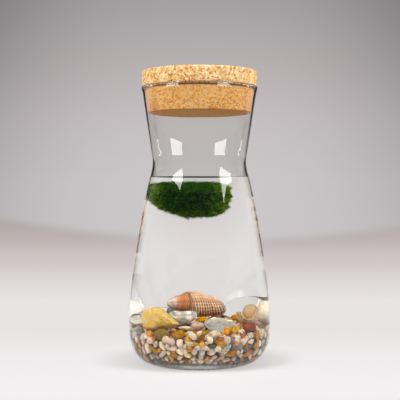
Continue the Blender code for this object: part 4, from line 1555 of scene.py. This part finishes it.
@dataclass(frozen=True)
class ShellForm:
    """A coiled shell: a tube that grows as it winds round a core, from its apex to its canal."""

    node: str
    apex: Place
    axis: Place
    mouth: Place
    radius: float
    to_whorl: float
    growth: float
    turns: float
    whorl: float
    column: tuple[Place, ...]
    cords: float
    relief: float
    tip: float = 0.0
    growth_lines: int = 26
    tube_share: float = 0.58
    around: int = 56
    section: int = 30
    voxel: float = 0.24

    @property
    def length(self) -> float:
        """From where the coil would start to the end of the canal."""
        return self.column[-1][0]

    def axes(self) -> tuple[np.ndarray, np.ndarray, np.ndarray, np.ndarray]:
        """The shell's own directions.

        Returns:
            The apex, the axis, and the two directions across it, the first towards the mouth.
        """
        along = np.array(self.axis) / np.linalg.norm(self.axis)
        mouth = np.array(self.mouth, float)
        mouth -= along * (mouth @ along)
        mouth /= np.linalg.norm(mouth)
        return np.array(self.apex), along, mouth, np.cross(along, mouth)

    def ring(self, middle: np.ndarray, first: np.ndarray, second: np.ndarray) -> np.ndarray:
        """Points of an ellipse round a middle."""
        angles = np.arange(self.section) * 2 * math.pi / self.section
        return middle + np.outer(np.cos(angles), first) + np.outer(np.sin(angles), second)

    def tube(self, rows: list[np.ndarray], start: np.ndarray, end: np.ndarray) -> Skin:
        """A closed tube through rings of points.

        Args:
            rows: the rings.
            start: the middle of its first end.
            end: the middle of its last end.

        Returns:
            Its points and faces.
        """
        points = np.vstack([start[None], *rows, end[None]])
        faces, count, last = [], self.section, 1 + self.section * len(rows)
        for i in range(count):
            after = (i + 1) % count
            faces.append((0, 1 + after, 1 + i))
            faces.append((last, last - count + i, last - count + after))
            for row in range(len(rows) - 1):
                low, high = 1 + row * count, 1 + (row + 1) * count
                faces.append((low + i, low + after, high + after, high + i))
        return points, faces

    def coil(self) -> Skin:
        """The growing tube, hollowed a little way in from its mouth.

        Returns:
            Its points and faces.
        """
        apex, along, mouth, side = self.axes()
        rows = []
        steps = int(self.turns * self.around)
        hollow = int(0.22 * self.around)
        stations = [(i - steps, 1.0) for i in range(steps + 1)]
        stations += [(-i, 0.84) for i in range(hollow)]
        for station, share in stations:
            turn = 2 * math.pi * station / self.around
            size = self.growth ** (turn / (2 * math.pi))
            out = mouth * math.cos(turn) + side * math.sin(turn)
            middle = apex + out * self.radius * size * (1 - self.tube_share)
            middle = middle + along * size * self.to_whorl
            width = out * self.radius * size * self.tube_share * share
            rows.append(self.ring(middle, width, along * size * self.whorl * share))
        return self.tube(rows, rows[0].mean(0), rows[-1].mean(0))

    def core(self) -> Skin:
        """The column that the tube winds round, drawn out into the canal.

        Returns:
            Its points and faces.
        """
        apex, along, mouth, side = self.axes()
        rings = [
            self.ring(apex + along * length + mouth * drop, mouth * reach, side * reach)
            for length, reach, drop in catmull(self.column, 24)
        ]
        end = apex + along * (self.length + 0.4) + mouth * self.column[-1][2]
        return self.tube(rings, apex + along * (self.column[0][0] - 0.4), end)

    def skin(self) -> tuple[np.ndarray, list, np.ndarray]:
        """One skin round the tube, its core and its blunt tip.

        Returns:
            The points in millimetres, the faces and the points' normals.
        """
        parts = [self.coil(), self.core()]
        if self.tip:
            apex, along, _, _ = self.axes()
            ball, around = PebbleShapes().ball(4)
            parts.append((ball * self.tip + apex + along * self.column[0][0], around.tolist()))
        points, faces, offset = [], [], 0
        for some_points, some_faces in parts:
            points.append(some_points)
            faces += [tuple(corner + offset for corner in face) for face in some_faces]
            offset += len(some_points)
        rough = mesh_piece("rough", np.vstack(points), faces, [])
        return remeshed(rough, self.voxel, 3)

    def whorl_place(self, points: np.ndarray) -> tuple[np.ndarray, np.ndarray, np.ndarray]:
        """Where each point is on the coil.

        Args:
            points: points in millimetres.

        Returns:
            The length along the last whorl's scale, the share across its whorl with 0.5 in the
            middle, and the turn back from the mouth in whole turns.
        """
        apex, along, mouth, side = self.axes()
        offset = points - apex
        length = np.maximum(offset @ along, 0.05)
        round_axis = np.arctan2(offset @ side, offset @ mouth) / (2 * math.pi)
        scale = np.log(length / self.to_whorl) / math.log(self.growth)
        back = np.maximum(np.round(round_axis - scale), np.ceil(round_axis))
        size = self.growth ** (round_axis - back)
        share = scale - (round_axis - back) + 0.5
        return length / size, share, back - round_axis

    def build(self, finish: Material) -> Object:
        """Builds the shell with its spiral cords and growth lines raised from its skin.

        Args:
            finish: its material.

        Returns:
            The shell.
        """
        points, faces, normals = self.skin()
        length, share, back = self.whorl_place(points)
        rough = np.array([noise.noise(Vector(point) * 0.5) for point in points])
        cord = 0.5 + 0.5 * np.cos(2 * math.pi * (length + 0.25 * rough) / self.cords)
        growth = np.cos(2 * math.pi * back * self.growth_lines + 3 * rough)
        raised = points + normals * (self.relief * (cord - 0.5) + 0.05 * growth)[:, None]
        piece = mesh_piece(f"coiled_{self.node}", raised, faces, [finish])
        store(piece, "cord", cord)
        store(piece, "across", share)
        store(piece, "back", back)
        apex, along, _, _ = self.axes()
        store(piece, "along", (points - apex) @ along / self.length)
        return settle(piece, [self.node])

    def blocks(self) -> list[Pebble]:
        """Balls along the shell, for the gravel to lie against.

        Returns:
            The balls.
        """
        apex, along, mouth, _ = self.axes()
        made = []
        for share, size in ((0.18, 0.3), (0.4, 0.62), (0.62, 0.95), (0.82, 0.6)):
            middle = apex + along * self.length * share + mouth * 0.1 * self.radius
            made.append(block(middle, np.full(3, self.radius * size), np.eye(3)))
        return made


WHELK = ShellForm(
    "whelk_shell", apex=(-21.3, -6.1, 38.5), axis=(0.95, 0.31, -0.04), mouth=(0.0, -0.35, -1.0),
    radius=8.6, to_whorl=23.0, growth=1.5, turns=2.34, whorl=7.6, tip=2.9, cords=1.4, relief=0.5,
    column=(
        (8.6, 2.5, 0.0), (16.0, 3.6, 0.0), (26.8, 6.0, 1.2), (30.5, 5.3, 2.4), (33.4, 3.4, 3.3),
        (34.6, 1.8, 3.6)
    )
)
TURBAN = ShellForm(
    "turban_shell", apex=(28.4, -21.8, 34.6), axis=(-0.14, 0.94, -0.24), mouth=(-1.0, 0.0, 0.1),
    radius=8.6, to_whorl=6.4, growth=1.85, turns=3.2, whorl=5.0, cords=1.2, relief=0.04,
    column=((0.6, 0.6, 0.0), (4.8, 3.6, 0.0), (8.9, 4.3, 0.5), (9.6, 1.4, 1.7))
)
CREAM_SHELL = ShellForm(
    "cream_shell", apex=(36.6, 4.4, 37.4), axis=(-0.30, 0.42, -0.86), mouth=(-0.8, 0.4, 0.0),
    radius=9.4, to_whorl=8.4, growth=1.75, turns=3.3, whorl=6.6, cords=1.1, relief=0.05,
    column=((0.9, 0.7, 0.0), (6.3, 3.9, 0.0), (11.7, 4.7, 0.6), (15.0, 1.5, 1.9))
)


@dataclass(frozen=True)
class WhelkSkin:
    """Peach whelk shell, chalky outside: brown and cream spiral cords crossed by growth ribs.

    Its numbers of ribs and rust bands are for one turn, and its mottle is in millimetres.
    """

    ribs: float = 24.0
    rust_bands: float = 5.0
    mottle: float = 1.6
    mouth_shade: tuple[float, float] = (33.5, 30.5)

    def material(self) -> Material:
        """Cords in cream and brown over peach, an orange shoulder and a pale tip.

        Returns:
            The material.
        """
        made, tree = blank_material("whelk_shell_chalky")
        place = add_node(tree, "TexCoord").outputs["Object"]
        height = add_node(tree, "SeparateXYZ", [place]).outputs["Z"]
        cord, along, back, across = (
            add_node(tree, "Attribute", attribute_name=name).outputs["Fac"]
            for name in ("cord", "along", "back", "across")
        )
        scale = 1 / (self.mottle * MM)
        mottle = add_node(tree, "TexNoise", {"Vector": place, "Scale": scale, "Detail": 5.0})
        ribs, bands = (
            add_node(tree, "Math", [back, 2 * math.pi * count], operation="MULTIPLY")
            for count in (self.ribs, self.rust_bands)
        )
        ribs = add_node(tree, "Math", [ribs], operation="SINE")
        bands = add_node(tree, "Math", [bands], operation="SINE")
        lines = add_node(tree, "Math", [ribs, 0.26, cord], operation="MULTIPLY_ADD")
        lines = add_node(tree, "Math", [mottle, 0.8, lines], operation="MULTIPLY_ADD")
        lines = add_node(tree, "MapRange", [lines, 0.2, 1.6])
        tones = ("80401a", "b06a32", "e6a470", "f8cc9e", "fff0d8")
        stops = list(zip((0.0, 0.2, 0.38, 0.58, 0.82), tones))
        corded = add_node(tree, "ValToRGB", [lines], stops=stops)
        tones = ("fffaf2", "fdeedd", "f0ad74", "d8772e", "e59a58", "75645a", "c08a66")
        stops = list(zip((0.0, 0.25, 0.31, 0.36, 0.43, 0.455, 0.48), tones))
        tip = add_node(tree, "ValToRGB", [along], stops=stops)
        middle = add_node(tree, "Math", [across, 0.5], operation="SUBTRACT")
        middle = add_node(tree, "Math", [middle], operation="ABSOLUTE")
        seam = add_node(tree, "MapRange", [middle, 0.43, 0.5, 0.0, 0.7])
        inner = add_node(tree, "MapRange", [along, 0.55, 0.62, 1.0, 0.0])
        seam = add_node(tree, "Math", [seam, inner], operation="MULTIPLY")
        high, low = (end * MM for end in self.mouth_shade)
        layers = [
            (along, 0.455, 0.50, 0.8, 0.0, tip), (bands, 0.3, 0.95, 0.0, 0.36, "b4602c"),
            (seam, 0.0, 1.0, 0.0, 1.0, "6e5a50"), (height, high, low, 0.0, 0.75, "6a2a12"),
            (along, 0.86, 0.95, 0.0, 0.7, "a0948a")
        ]
        colour = layered(tree, corded, layers)
        look = {"Base Color": colour, "Roughness": 0.5, "Specular IOR Level": WET_SHINE}
        return shown(made, add_node(tree, "BsdfPrincipled", look))


@dataclass(frozen=True)
class BandedShell:
    """Smooth sea shell with coloured spiral bands and a low natural gloss."""

    name: str
    stops: tuple[tuple[float, str], ...]
    stain: str
    stain_share: float = 0.5
    streak_share: float = 0.35
    streak: str = "fffaf0"
    lip: str = "f6ead2"
    mottle_size: float = 3.4
    stain_size: float = 5.0

    def material(self) -> Material:
        """Bands across each whorl, growth streaks along it and a few stains.

        Returns:
            The material.
        """
        made, tree = blank_material(self.name)
        place = add_node(tree, "TexCoord").outputs["Object"]
        across, back = (
            add_node(tree, "Attribute", attribute_name=name).outputs["Fac"]
            for name in ("across", "back")
        )
        mottle, spots = (
            add_node(
                tree, "TexNoise", {"Vector": place, "Scale": 1 / (size * MM), "Detail": detail}
            ) for size, detail in ((self.mottle_size, 4.0), (self.stain_size, 2.0))
        )
        moved = add_node(tree, "Math", [mottle, 0.8, across], operation="MULTIPLY_ADD")
        moved = add_node(tree, "Math", [moved, 0.4], operation="SUBTRACT")
        bands = add_node(tree, "ValToRGB", [moved], stops=self.stops)
        growth = {"W": back, "Scale": 34.0, "Detail": 3.0}
        lines = add_node(tree, "TexNoise", growth, noise_dimensions="1D")
        layers = [
            (lines, 0.5, 0.7, 0.0, self.streak_share, self.streak),
            (spots, 0.58, 0.68, 0.0, self.stain_share, self.stain),
            (back, 0.05, 0.11, 0.9, 0.0, self.lip)
        ]
        colour = layered(tree, bands, layers)
        look = {"Base Color": colour, "Roughness": 0.3, "Specular IOR Level": 0.2}
        return shown(made, add_node(tree, "BsdfPrincipled", look))


TURBAN_SKIN = BandedShell(
    "turban_shell_polished",
    (
        (0.0, "7a4414"), (0.12, "d08c24"), (0.26, "f8c858"), (0.34, "ead4a0"), (0.42, "90683a"),
        (0.55, "8a6434"), (0.72, "d0c0b8"), (1.0, "96642c")
    ), "a8763a"
)
CREAM_SKIN = BandedShell(
    "cream_shell_smooth", ((0.0, "f0d796"), (0.3, "fbeecb"), (0.7, "fff6e2"), (1.0, "f2dca4")),
    "e0a24c", 0.45
)


@dataclass
class HalfShell:
    """Bleached half shell: a ribbed fan-shaped dome that leans on the glass at the left."""

    middle: Place = (-31.2, 10.2, 32.0)
    radius: float = 8.4
    height: float = 4.6
    narrow: float = 0.86
    turn: Place = (12, -24, 30)
    ribs: int = 9
    grain: float = 0.8
    around: int = 150
    rows: int = 48
    section: tuple[tuple[float, float], ...] = (
        (0.0, 0.12), (0.45, 0.08), (0.8, 0.0), (1.0, 0.02), (0.9, 0.42), (0.62, 0.84), (0.3, 0.97),
        (0.0, 1.0)
    )

    def material(self) -> Material:
        """Chalk-white shell with faint warm growth bands, matt from the sea.

        Returns:
            The material.
        """
        made, tree = blank_material("half_shell_bleached")
        place = add_node(tree, "TexCoord").outputs["Object"]
        share = add_node(tree, "Attribute", attribute_name="growth").outputs["Fac"]
        growth = {"W": share, "Scale": 22.0, "Detail": 2.0}
        rings = add_node(tree, "TexNoise", growth, noise_dimensions="1D")
        stops = [(0.35, "f0e6d4"), (0.5, "faf6ec"), (0.7, "fffdf8")]
        scale = 1 / (self.grain * MM)
        fine = add_node(tree, "TexNoise", {"Vector": place, "Scale": scale, "Detail": 3.0})
        relief = {"Height": fine, "Strength": 0.3, "Distance": 0.1 * MM}
        look = {
            "Base Color": add_node(tree, "ValToRGB", [rings], stops=stops), "Roughness": 0.55,
            "Specular IOR Level": WET_SHINE, "Normal": add_node(tree, "Bump", relief)
        }
        return shown(made, add_node(tree, "BsdfPrincipled", look))

    def build(self) -> list[Pebble]:
        """Builds the half shell.

        Returns:
            An ellipsoid of its size.
        """
        outline = [(out, up) for out, up in catmull(self.section, self.rows)]
        points, faces, _ = turned(outline, self.around)
        shaped, growth = [], []
        for x, y, up in points:
            angle, out = math.atan2(y, x), math.hypot(x, y)
            beak = 1 - 0.16 * math.cos(angle) ** 3
            ribs = 1 + 0.03 * math.cos(self.ribs * angle * 3) * (1 if up > 0.02 else 0)
            reach = self.radius * out * beak * ribs
            lift = self.height * up + (0.12 * math.cos(40 * out) if up > 0.1 else 0.0)
            shaped.append((reach * math.cos(angle), self.narrow * reach * math.sin(angle), lift))
            growth.append(out)
        axes = turned_axes(self.turn)
        placed = np.array(shaped) @ axes.T + np.array(self.middle)
        piece = mesh_piece("ribbed_half_shell", placed, faces, [self.material()])
        store(piece, "growth", np.array(growth))
        settle(piece, ["white_shell"])
        half = (self.radius, self.narrow * self.radius, 0.6 * self.height)
        return [block(np.array(self.middle) + axes[:, 2] * self.height / 2, half, axes)]


@dataclass
class YellowStone:
    """Broken yellow sandstone, pitted and chipped, worked up from its own solid."""

    voxel: float = 0.34
    chip: float = 0.35
    pit: float = 0.5

    def build(self) -> list[Pebble]:
        """Builds the stone.

        Returns:
            Ellipsoids that fill it.
        """
        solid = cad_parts["yellow_stone"].data.copy()
        rough = bpy.data.objects.new("rough", solid)
        bpy.context.scene.collection.objects.link(rough)
        points, faces, normals = remeshed(rough, self.voxel, 2)
        moved = []
        for point in points:
            spot = Vector(point)
            chips = noise.fractal(spot * 0.35, 0.8, 2.1, 5) * self.chip
            pits = max(0.0, noise.noise(spot * 0.9 + Vector((3, 8, 1))) - 0.35) * self.pit * 2
            moved.append(chips - self.chip - pits)
        finish = STONE_FINISHES[SAND].material()
        raised = points + normals * np.array(moved)[:, None]
        piece = mesh_piece("chipped_yellow_stone", raised, faces, [finish])
        store(piece, "own", np.full(len(points), 0.37))
        settle(piece, ["yellow_stone"])
        blocks = (
            ((-27.0, -24.5, 31.5), (6.0, 5.5, 6.0)), ((-20.0, -26.0, 31.0), (6.0, 5.5, 5.5)),
            ((-14.5, -26.0, 28.5), (3.5, 4.5, 2.5))
        )
        return [block(middle, half, np.eye(3)) for middle, half in blocks]


@dataclass
class Studio:
    """Pale table and wall, soft boxes at both sides, low cards and black flags, and the camera."""

    camera_back: float = 610.5
    camera_height: float = 109.5
    camera_down: float = 0.597
    lens: float = 86.4
    wall_back: float = 1141.0
    card_lift: float = 1.5
    flag_height: float = 33.0
    table_side: tuple[float, float] = (0.36, 0.48)
    table_widens: float = 1.2
    table_shadow: tuple[float, float] = (0.03, 0.085)
    wall_side: tuple[float, float] = (0.39, 0.47)
    wall_half: float = 0.365
    arch_middle: float = 0.0465
    arch_radius: float = 4.196
    # Greys of the table along Y, which carry a painted fall-off of the light in front and far
    # behind.
    table_stops: tuple[tuple[float, str], ...] = (
        (-1500.0, "1c1c1c"), (-500.0, "303030"), (-250.0, "606060"), (-125.0, "f0eeef"),
        (-98.0, "f3f1f2"), (8.0, "efedee"), (140.0, "e7e3e2"), (345.0, "e7e3e2"), (557.0, "ddd7d7"),
        (760.0, "d1cac8"), (1141.0, "c8bebd")
    )
    foot_stops: tuple[tuple[float, str], ...] = (
        (0.0, "c8bebd"), (11.0, "c2b8b7"), (22.0, "bcb2b1"), (33.0, "b9afae"), (50.0, "b2a8a6")
    )
    # Greys of the wall up from the table, darker higher up: a painted fall-off of the light.
    wall_stops: tuple[tuple[float, str], ...] = (
        (12.0, "cbc7c8"), (127.0, "cbc7c8"), (237.0, "c5bfc1"), (347.0, "b5afb0"),
        (447.0, "a5a1a2"), (900.0, "6e6b6c")
    )

    def ramp(self, tree: NodeTree, along: NodeSocket, stops: tuple) -> Node:
        """A colour that changes along one coordinate.

        Args:
            tree: the material's node tree.
            along: the coordinate, in metres.
            stops: places in millimetres and their colours.

        Returns:
            The colour.
        """
        low, high = stops[0][0], stops[-1][0]
        share = add_node(tree, "MapRange", [along, low * MM, high * MM])
        places = [((place - low) / (high - low), colour) for place, colour in stops]
        return add_node(tree, "ValToRGB", [share], stops=places)

    def table(self) -> Material:
        """Matt white board, lit near the carafe; farther out it glows with painted light, evenly
        grey behind it and dark at its sides.

        Returns:
            The material.
        """
        made, tree = blank_material("table_matt_board")
        place = add_node(tree, "TexCoord").outputs["Object"]
        across, along = add_node(tree, "SeparateXYZ", [place]).outputs[:2]
        # Painted fall-off of the light: the greys darken in front and far behind.
        grey = self.ramp(tree, along, self.table_stops)
        look = {"Base Color": grey, "Roughness": 0.7, "Specular IOR Level": 0.1}
        lit = add_node(tree, "BsdfPrincipled", look)
        aside = add_node(tree, "Math", [across], operation="ABSOLUTE")
        behind = add_node(tree, "Math", [along, 0.0], operation="MAXIMUM")
        aside = add_node(
            tree, "Math", [behind, -self.table_widens, aside], operation="MULTIPLY_ADD"
        )
        bright, dark = self.table_side
        fall = [aside, bright, dark, 1.0, 0.12]
        side = add_node(tree, "MapRange", fall, interpolation_type="SMOOTHSTEP")
        # Painted light: away from the carafe the board glows, dimmer towards its sides.
        even = add_node(tree, "Emission", [grey, side])
        far = add_node(tree, "VectorMath", [place], operation="LENGTH").outputs["Value"]
        near, away = self.table_shadow
        fade = [far, near, away, 0.35]
        fade = add_node(tree, "MapRange", fade, interpolation_type="SMOOTHSTEP")
        return shown(made, add_node(tree, "MixShader", [fade, lit, even]))

    def wall(self) -> Material:
        """Paper wall that glows with painted light, dimmer higher up and towards its sides and dark
        past its edges, that meets the table in a soft arched line.

        Returns:
            The material.
        """
        made, tree = blank_material("wall_seamless_paper")
        place = add_node(tree, "TexCoord").outputs["Object"]
        across, _, up = add_node(tree, "SeparateXYZ", [place]).outputs
        arch = add_node(tree, "Math", [across, self.arch_middle], operation="SUBTRACT")
        arch = add_node(tree, "Math", [arch, arch], operation="MULTIPLY")
        level = add_node(tree, "Math", [arch, -1 / self.arch_radius, up], operation="MULTIPLY_ADD")
        above = add_node(tree, "MapRange", [level, 0.006, 0.030], interpolation_type="SMOOTHSTEP")
        # Painted fall-off of the light: the wall's greys darken higher up.
        foot, paper = (self.ramp(tree, up, stops) for stops in (self.foot_stops, self.wall_stops))
        colour = add_node(tree, "Mix", {0: above, 6: foot, 7: paper}, data_type="RGBA")
        # Painted light: the glow dims towards the sides and ends past the wall's edges.
        aside = add_node(tree, "Math", [across], operation="ABSOLUTE")
        loss = add_node(tree, "Math", [up, 0.80, 0.16], operation="MULTIPLY_ADD")
        loss = add_node(tree, "Math", [loss, above], operation="MULTIPLY")
        fall = add_node(tree, "Math", [aside, self.wall_half], operation="DIVIDE")
        fall = add_node(tree, "Math", [fall, 3.0], operation="POWER")
        fall = add_node(tree, "Math", [fall, loss, 1.0], operation="MULTIPLY_ADD")
        side = add_node(tree, "Math", [1.0, fall], operation="DIVIDE")
        bright, dark = self.wall_side
        edge = add_node(
            tree, "MapRange", [aside, bright, dark, 0.0, 0.95], interpolation_type="SMOOTHSTEP"
        )
        edge = add_node(tree, "Math", [edge, above], operation="MULTIPLY")
        left = add_node(tree, "Math", [1.0, edge], operation="SUBTRACT")
        strength = add_node(tree, "Math", [side, left], operation="MULTIPLY")
        return shown(made, add_node(tree, "Emission", [colour.outputs[2], strength]))

    def panel(self, name: str, corners: list[Place], finish: Material) -> Object:
        """A flat panel of the stage.

        Args:
            name: the panel's name.
            corners: its corners in millimetres.
            finish: its material.

        Returns:
            The panel.
        """
        panel = mesh_piece(name, np.array(corners), [range(len(corners))], [finish])
        return panel

    def soft_light(
        self, name: str, azimuth: float, elevation: float, distance: float,
        size: tuple[float, float], radiance: float, roll: float = 0.0,
        aim: Place = (0.0, 0.0, 120.0)
    ) -> Object:
        """A rectangular light that faces the carafe.

        Args:
            name: the light's name.
            azimuth: degrees round from the camera's side, to the right.
            elevation: degrees above the aim point.
            distance: millimetres from the aim point.
            size: its width and height in millimetres.
            radiance: how bright its face is.
            roll: degrees that it leans to one side.
            aim: the point that it faces.

        Returns:
            The light.
        """
        turn, lift = math.radians(azimuth), math.radians(elevation)
        way = Vector(
            (math.sin(turn) * math.cos(lift), -math.cos(turn) * math.cos(lift), math.sin(lift))
        )
        data = bpy.data.lights.new(name, "AREA")
        data.shape = "RECTANGLE"
        data.size, data.size_y = size[0] * MM, size[1] * MM
        data.energy = radiance * math.pi * data.size * data.size_y
        light = bpy.data.objects.new(name, data)
        light.location = (Vector(aim) + way * distance) * MM
        lean = Quaternion((0.0, 0.0, 1.0), math.radians(roll))
        light.rotation_euler = (way.to_track_quat("Z", "Y") @ lean).to_euler()
        light.visible_camera = False
        light.visible_transmission = False
        bpy.context.scene.collection.objects.link(light)
        return light

    def low_card(self, name: str, corners: Outline, radiance: float) -> None:
        """A bright card that lies on the table, seen only as a reflection.

        Args:
            name: the card's name.
            corners: its corners on the table, in millimetres.
            radiance: how bright it is.
        """
        made, tree = blank_material(f"{name}_lit")
        shown(made, add_node(tree, "Emission", {"Strength": radiance}))
        card = self.panel(name, [(x, y, self.card_lift) for x, y in corners], made)
        card.visible_camera = False
        card.visible_transmission = False

    def low_flag(self, name: str, ends: Outline) -> None:
        """A low black flag that keeps a card's reflection off the lower part of the glass.

        Args:
            name: the flag's name.
            ends: where it stands on the table, in millimetres.
        """
        made, tree = blank_material(f"{name}_black_felt")
        shown(made, add_node(tree, "BsdfDiffuse", [linear("101010")]))
        (x0, y0), (x1, y1) = ends
        corners = [(x0, y0, 0), (x1, y1, 0), (x1, y1, self.flag_height), (x0, y0, self.flag_height)]
        flag = self.panel(name, corners, made)
        flag.visible_camera = False
        flag.visible_transmission = False
        flag.visible_diffuse = False
        flag.visible_shadow = False

    def world(self) -> None:
        """A dark room that is a little brighter behind the camera."""
        world = bpy.data.worlds.new("dim_studio")
        world.use_nodes = True
        tree = world.node_tree
        way = add_node(tree, "TexCoord").outputs["Generated"]
        along = add_node(tree, "SeparateXYZ", [way]).outputs["Y"]
        front = [along, -0.3, -0.85, 0.03, 0.06]
        front = add_node(tree, "MapRange", front, interpolation_type="SMOOTHSTEP")
        background = tree.nodes["Background"]
        background.inputs["Color"].default_value = linear("fdfbfb")
        tree.links.new(front.outputs[0], background.inputs["Strength"])
        bpy.context.scene.world = world

    def build(self) -> None:
        """Sets up the stage, the lights, the world and the camera."""
        back = self.wall_back
        self.panel(
            "table", [(-2600, -2600, 0), (2600, -2600, 0), (2600, back, 0), (-2600, back, 0)],
            self.table()
        )
        self.panel(
            "wall", [(-2600, back, 0), (2600, back, 0), (2600, back, 1800), (-2600, back, 1800)],
            self.wall()
        )
        self.soft_light("soft_box_left", -53.2, 37.7, 1200, (576, 640), 10.5, -12.3)
        self.soft_light("soft_box_right", 62.3, 34.8, 1200, (575, 640), 10.0, 9.4)
        self.soft_light("overhead", 0, 80, 1500, (1200, 1200), 0.8)
        near_left = [(-694, -261), (-589, -346), (-489, -412), (-398, -462), (-300, -345)]
        near_left.append((-400, -190))
        near_right = [(632, -311), (531, -385), (434, -443), (344, -487), (255, -370), (330, -237)]
        far_left = [(-1240, 580), (-940, 400), (-780, 154), (-1160, 440)]
        far_right = [(1225, 597), (930, 372), (783, 154), (1157, 454)]
        self.low_card("card_left", near_left, 9.0)
        self.low_card("card_right", near_right, 9.0)
        self.low_flag("flag_left", [(-165, -250), (-310, -85)])
        self.low_flag("flag_right", [(165, -250), (310, -85)])
        self.low_card("card_far_left", far_left, 5.0)
        self.low_card("card_far_right", far_right, 5.0)
        self.world()
        scene = bpy.context.scene
        lens = bpy.data.cameras.new("camera")
        lens.lens = self.lens
        lens.sensor_width = 36.0
        camera = bpy.data.objects.new("camera", lens)
        camera.location = (0.0003, -self.camera_back * MM, self.camera_height * MM)
        camera.rotation_euler = (math.radians(90 - self.camera_down), 0.0, 0.0)
        scene.collection.objects.link(camera)
        scene.camera = camera
        scene.view_settings.view_transform = "Standard"
        cycles = scene.cycles
        cycles.max_bounces = 32
        cycles.transmission_bounces = 32
        cycles.transparent_max_bounces = 32
        cycles.caustics_refractive = False
        cycles.caustics_reflective = False


def main() -> None:
    """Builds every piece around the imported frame, then the stage, lights and camera."""
    logging.basicConfig(level=logging.INFO, format="%(message)s")
    carafe = Carafe()
    water = Water()
    bed = GravelBed(carafe)
    carafe.build(water.wet_to)
    water.build(carafe, bed)
    CorkStopper().build(carafe)
    moss = MossBall()
    moss.body()
    moss.fringe()
    lying = LooseStones().build()
    blocks = GlassNuggets().build() + HalfShell().build() + YellowStone().build()
    for form, finish in ((WHELK, WhelkSkin()), (TURBAN, TURBAN_SKIN), (CREAM_SHELL, CREAM_SKIN)):
        form.build(finish.material())
        blocks += form.blocks()
    bed.build(lying, blocks)
    Studio().build()


if __name__ == "__main__":
    main()
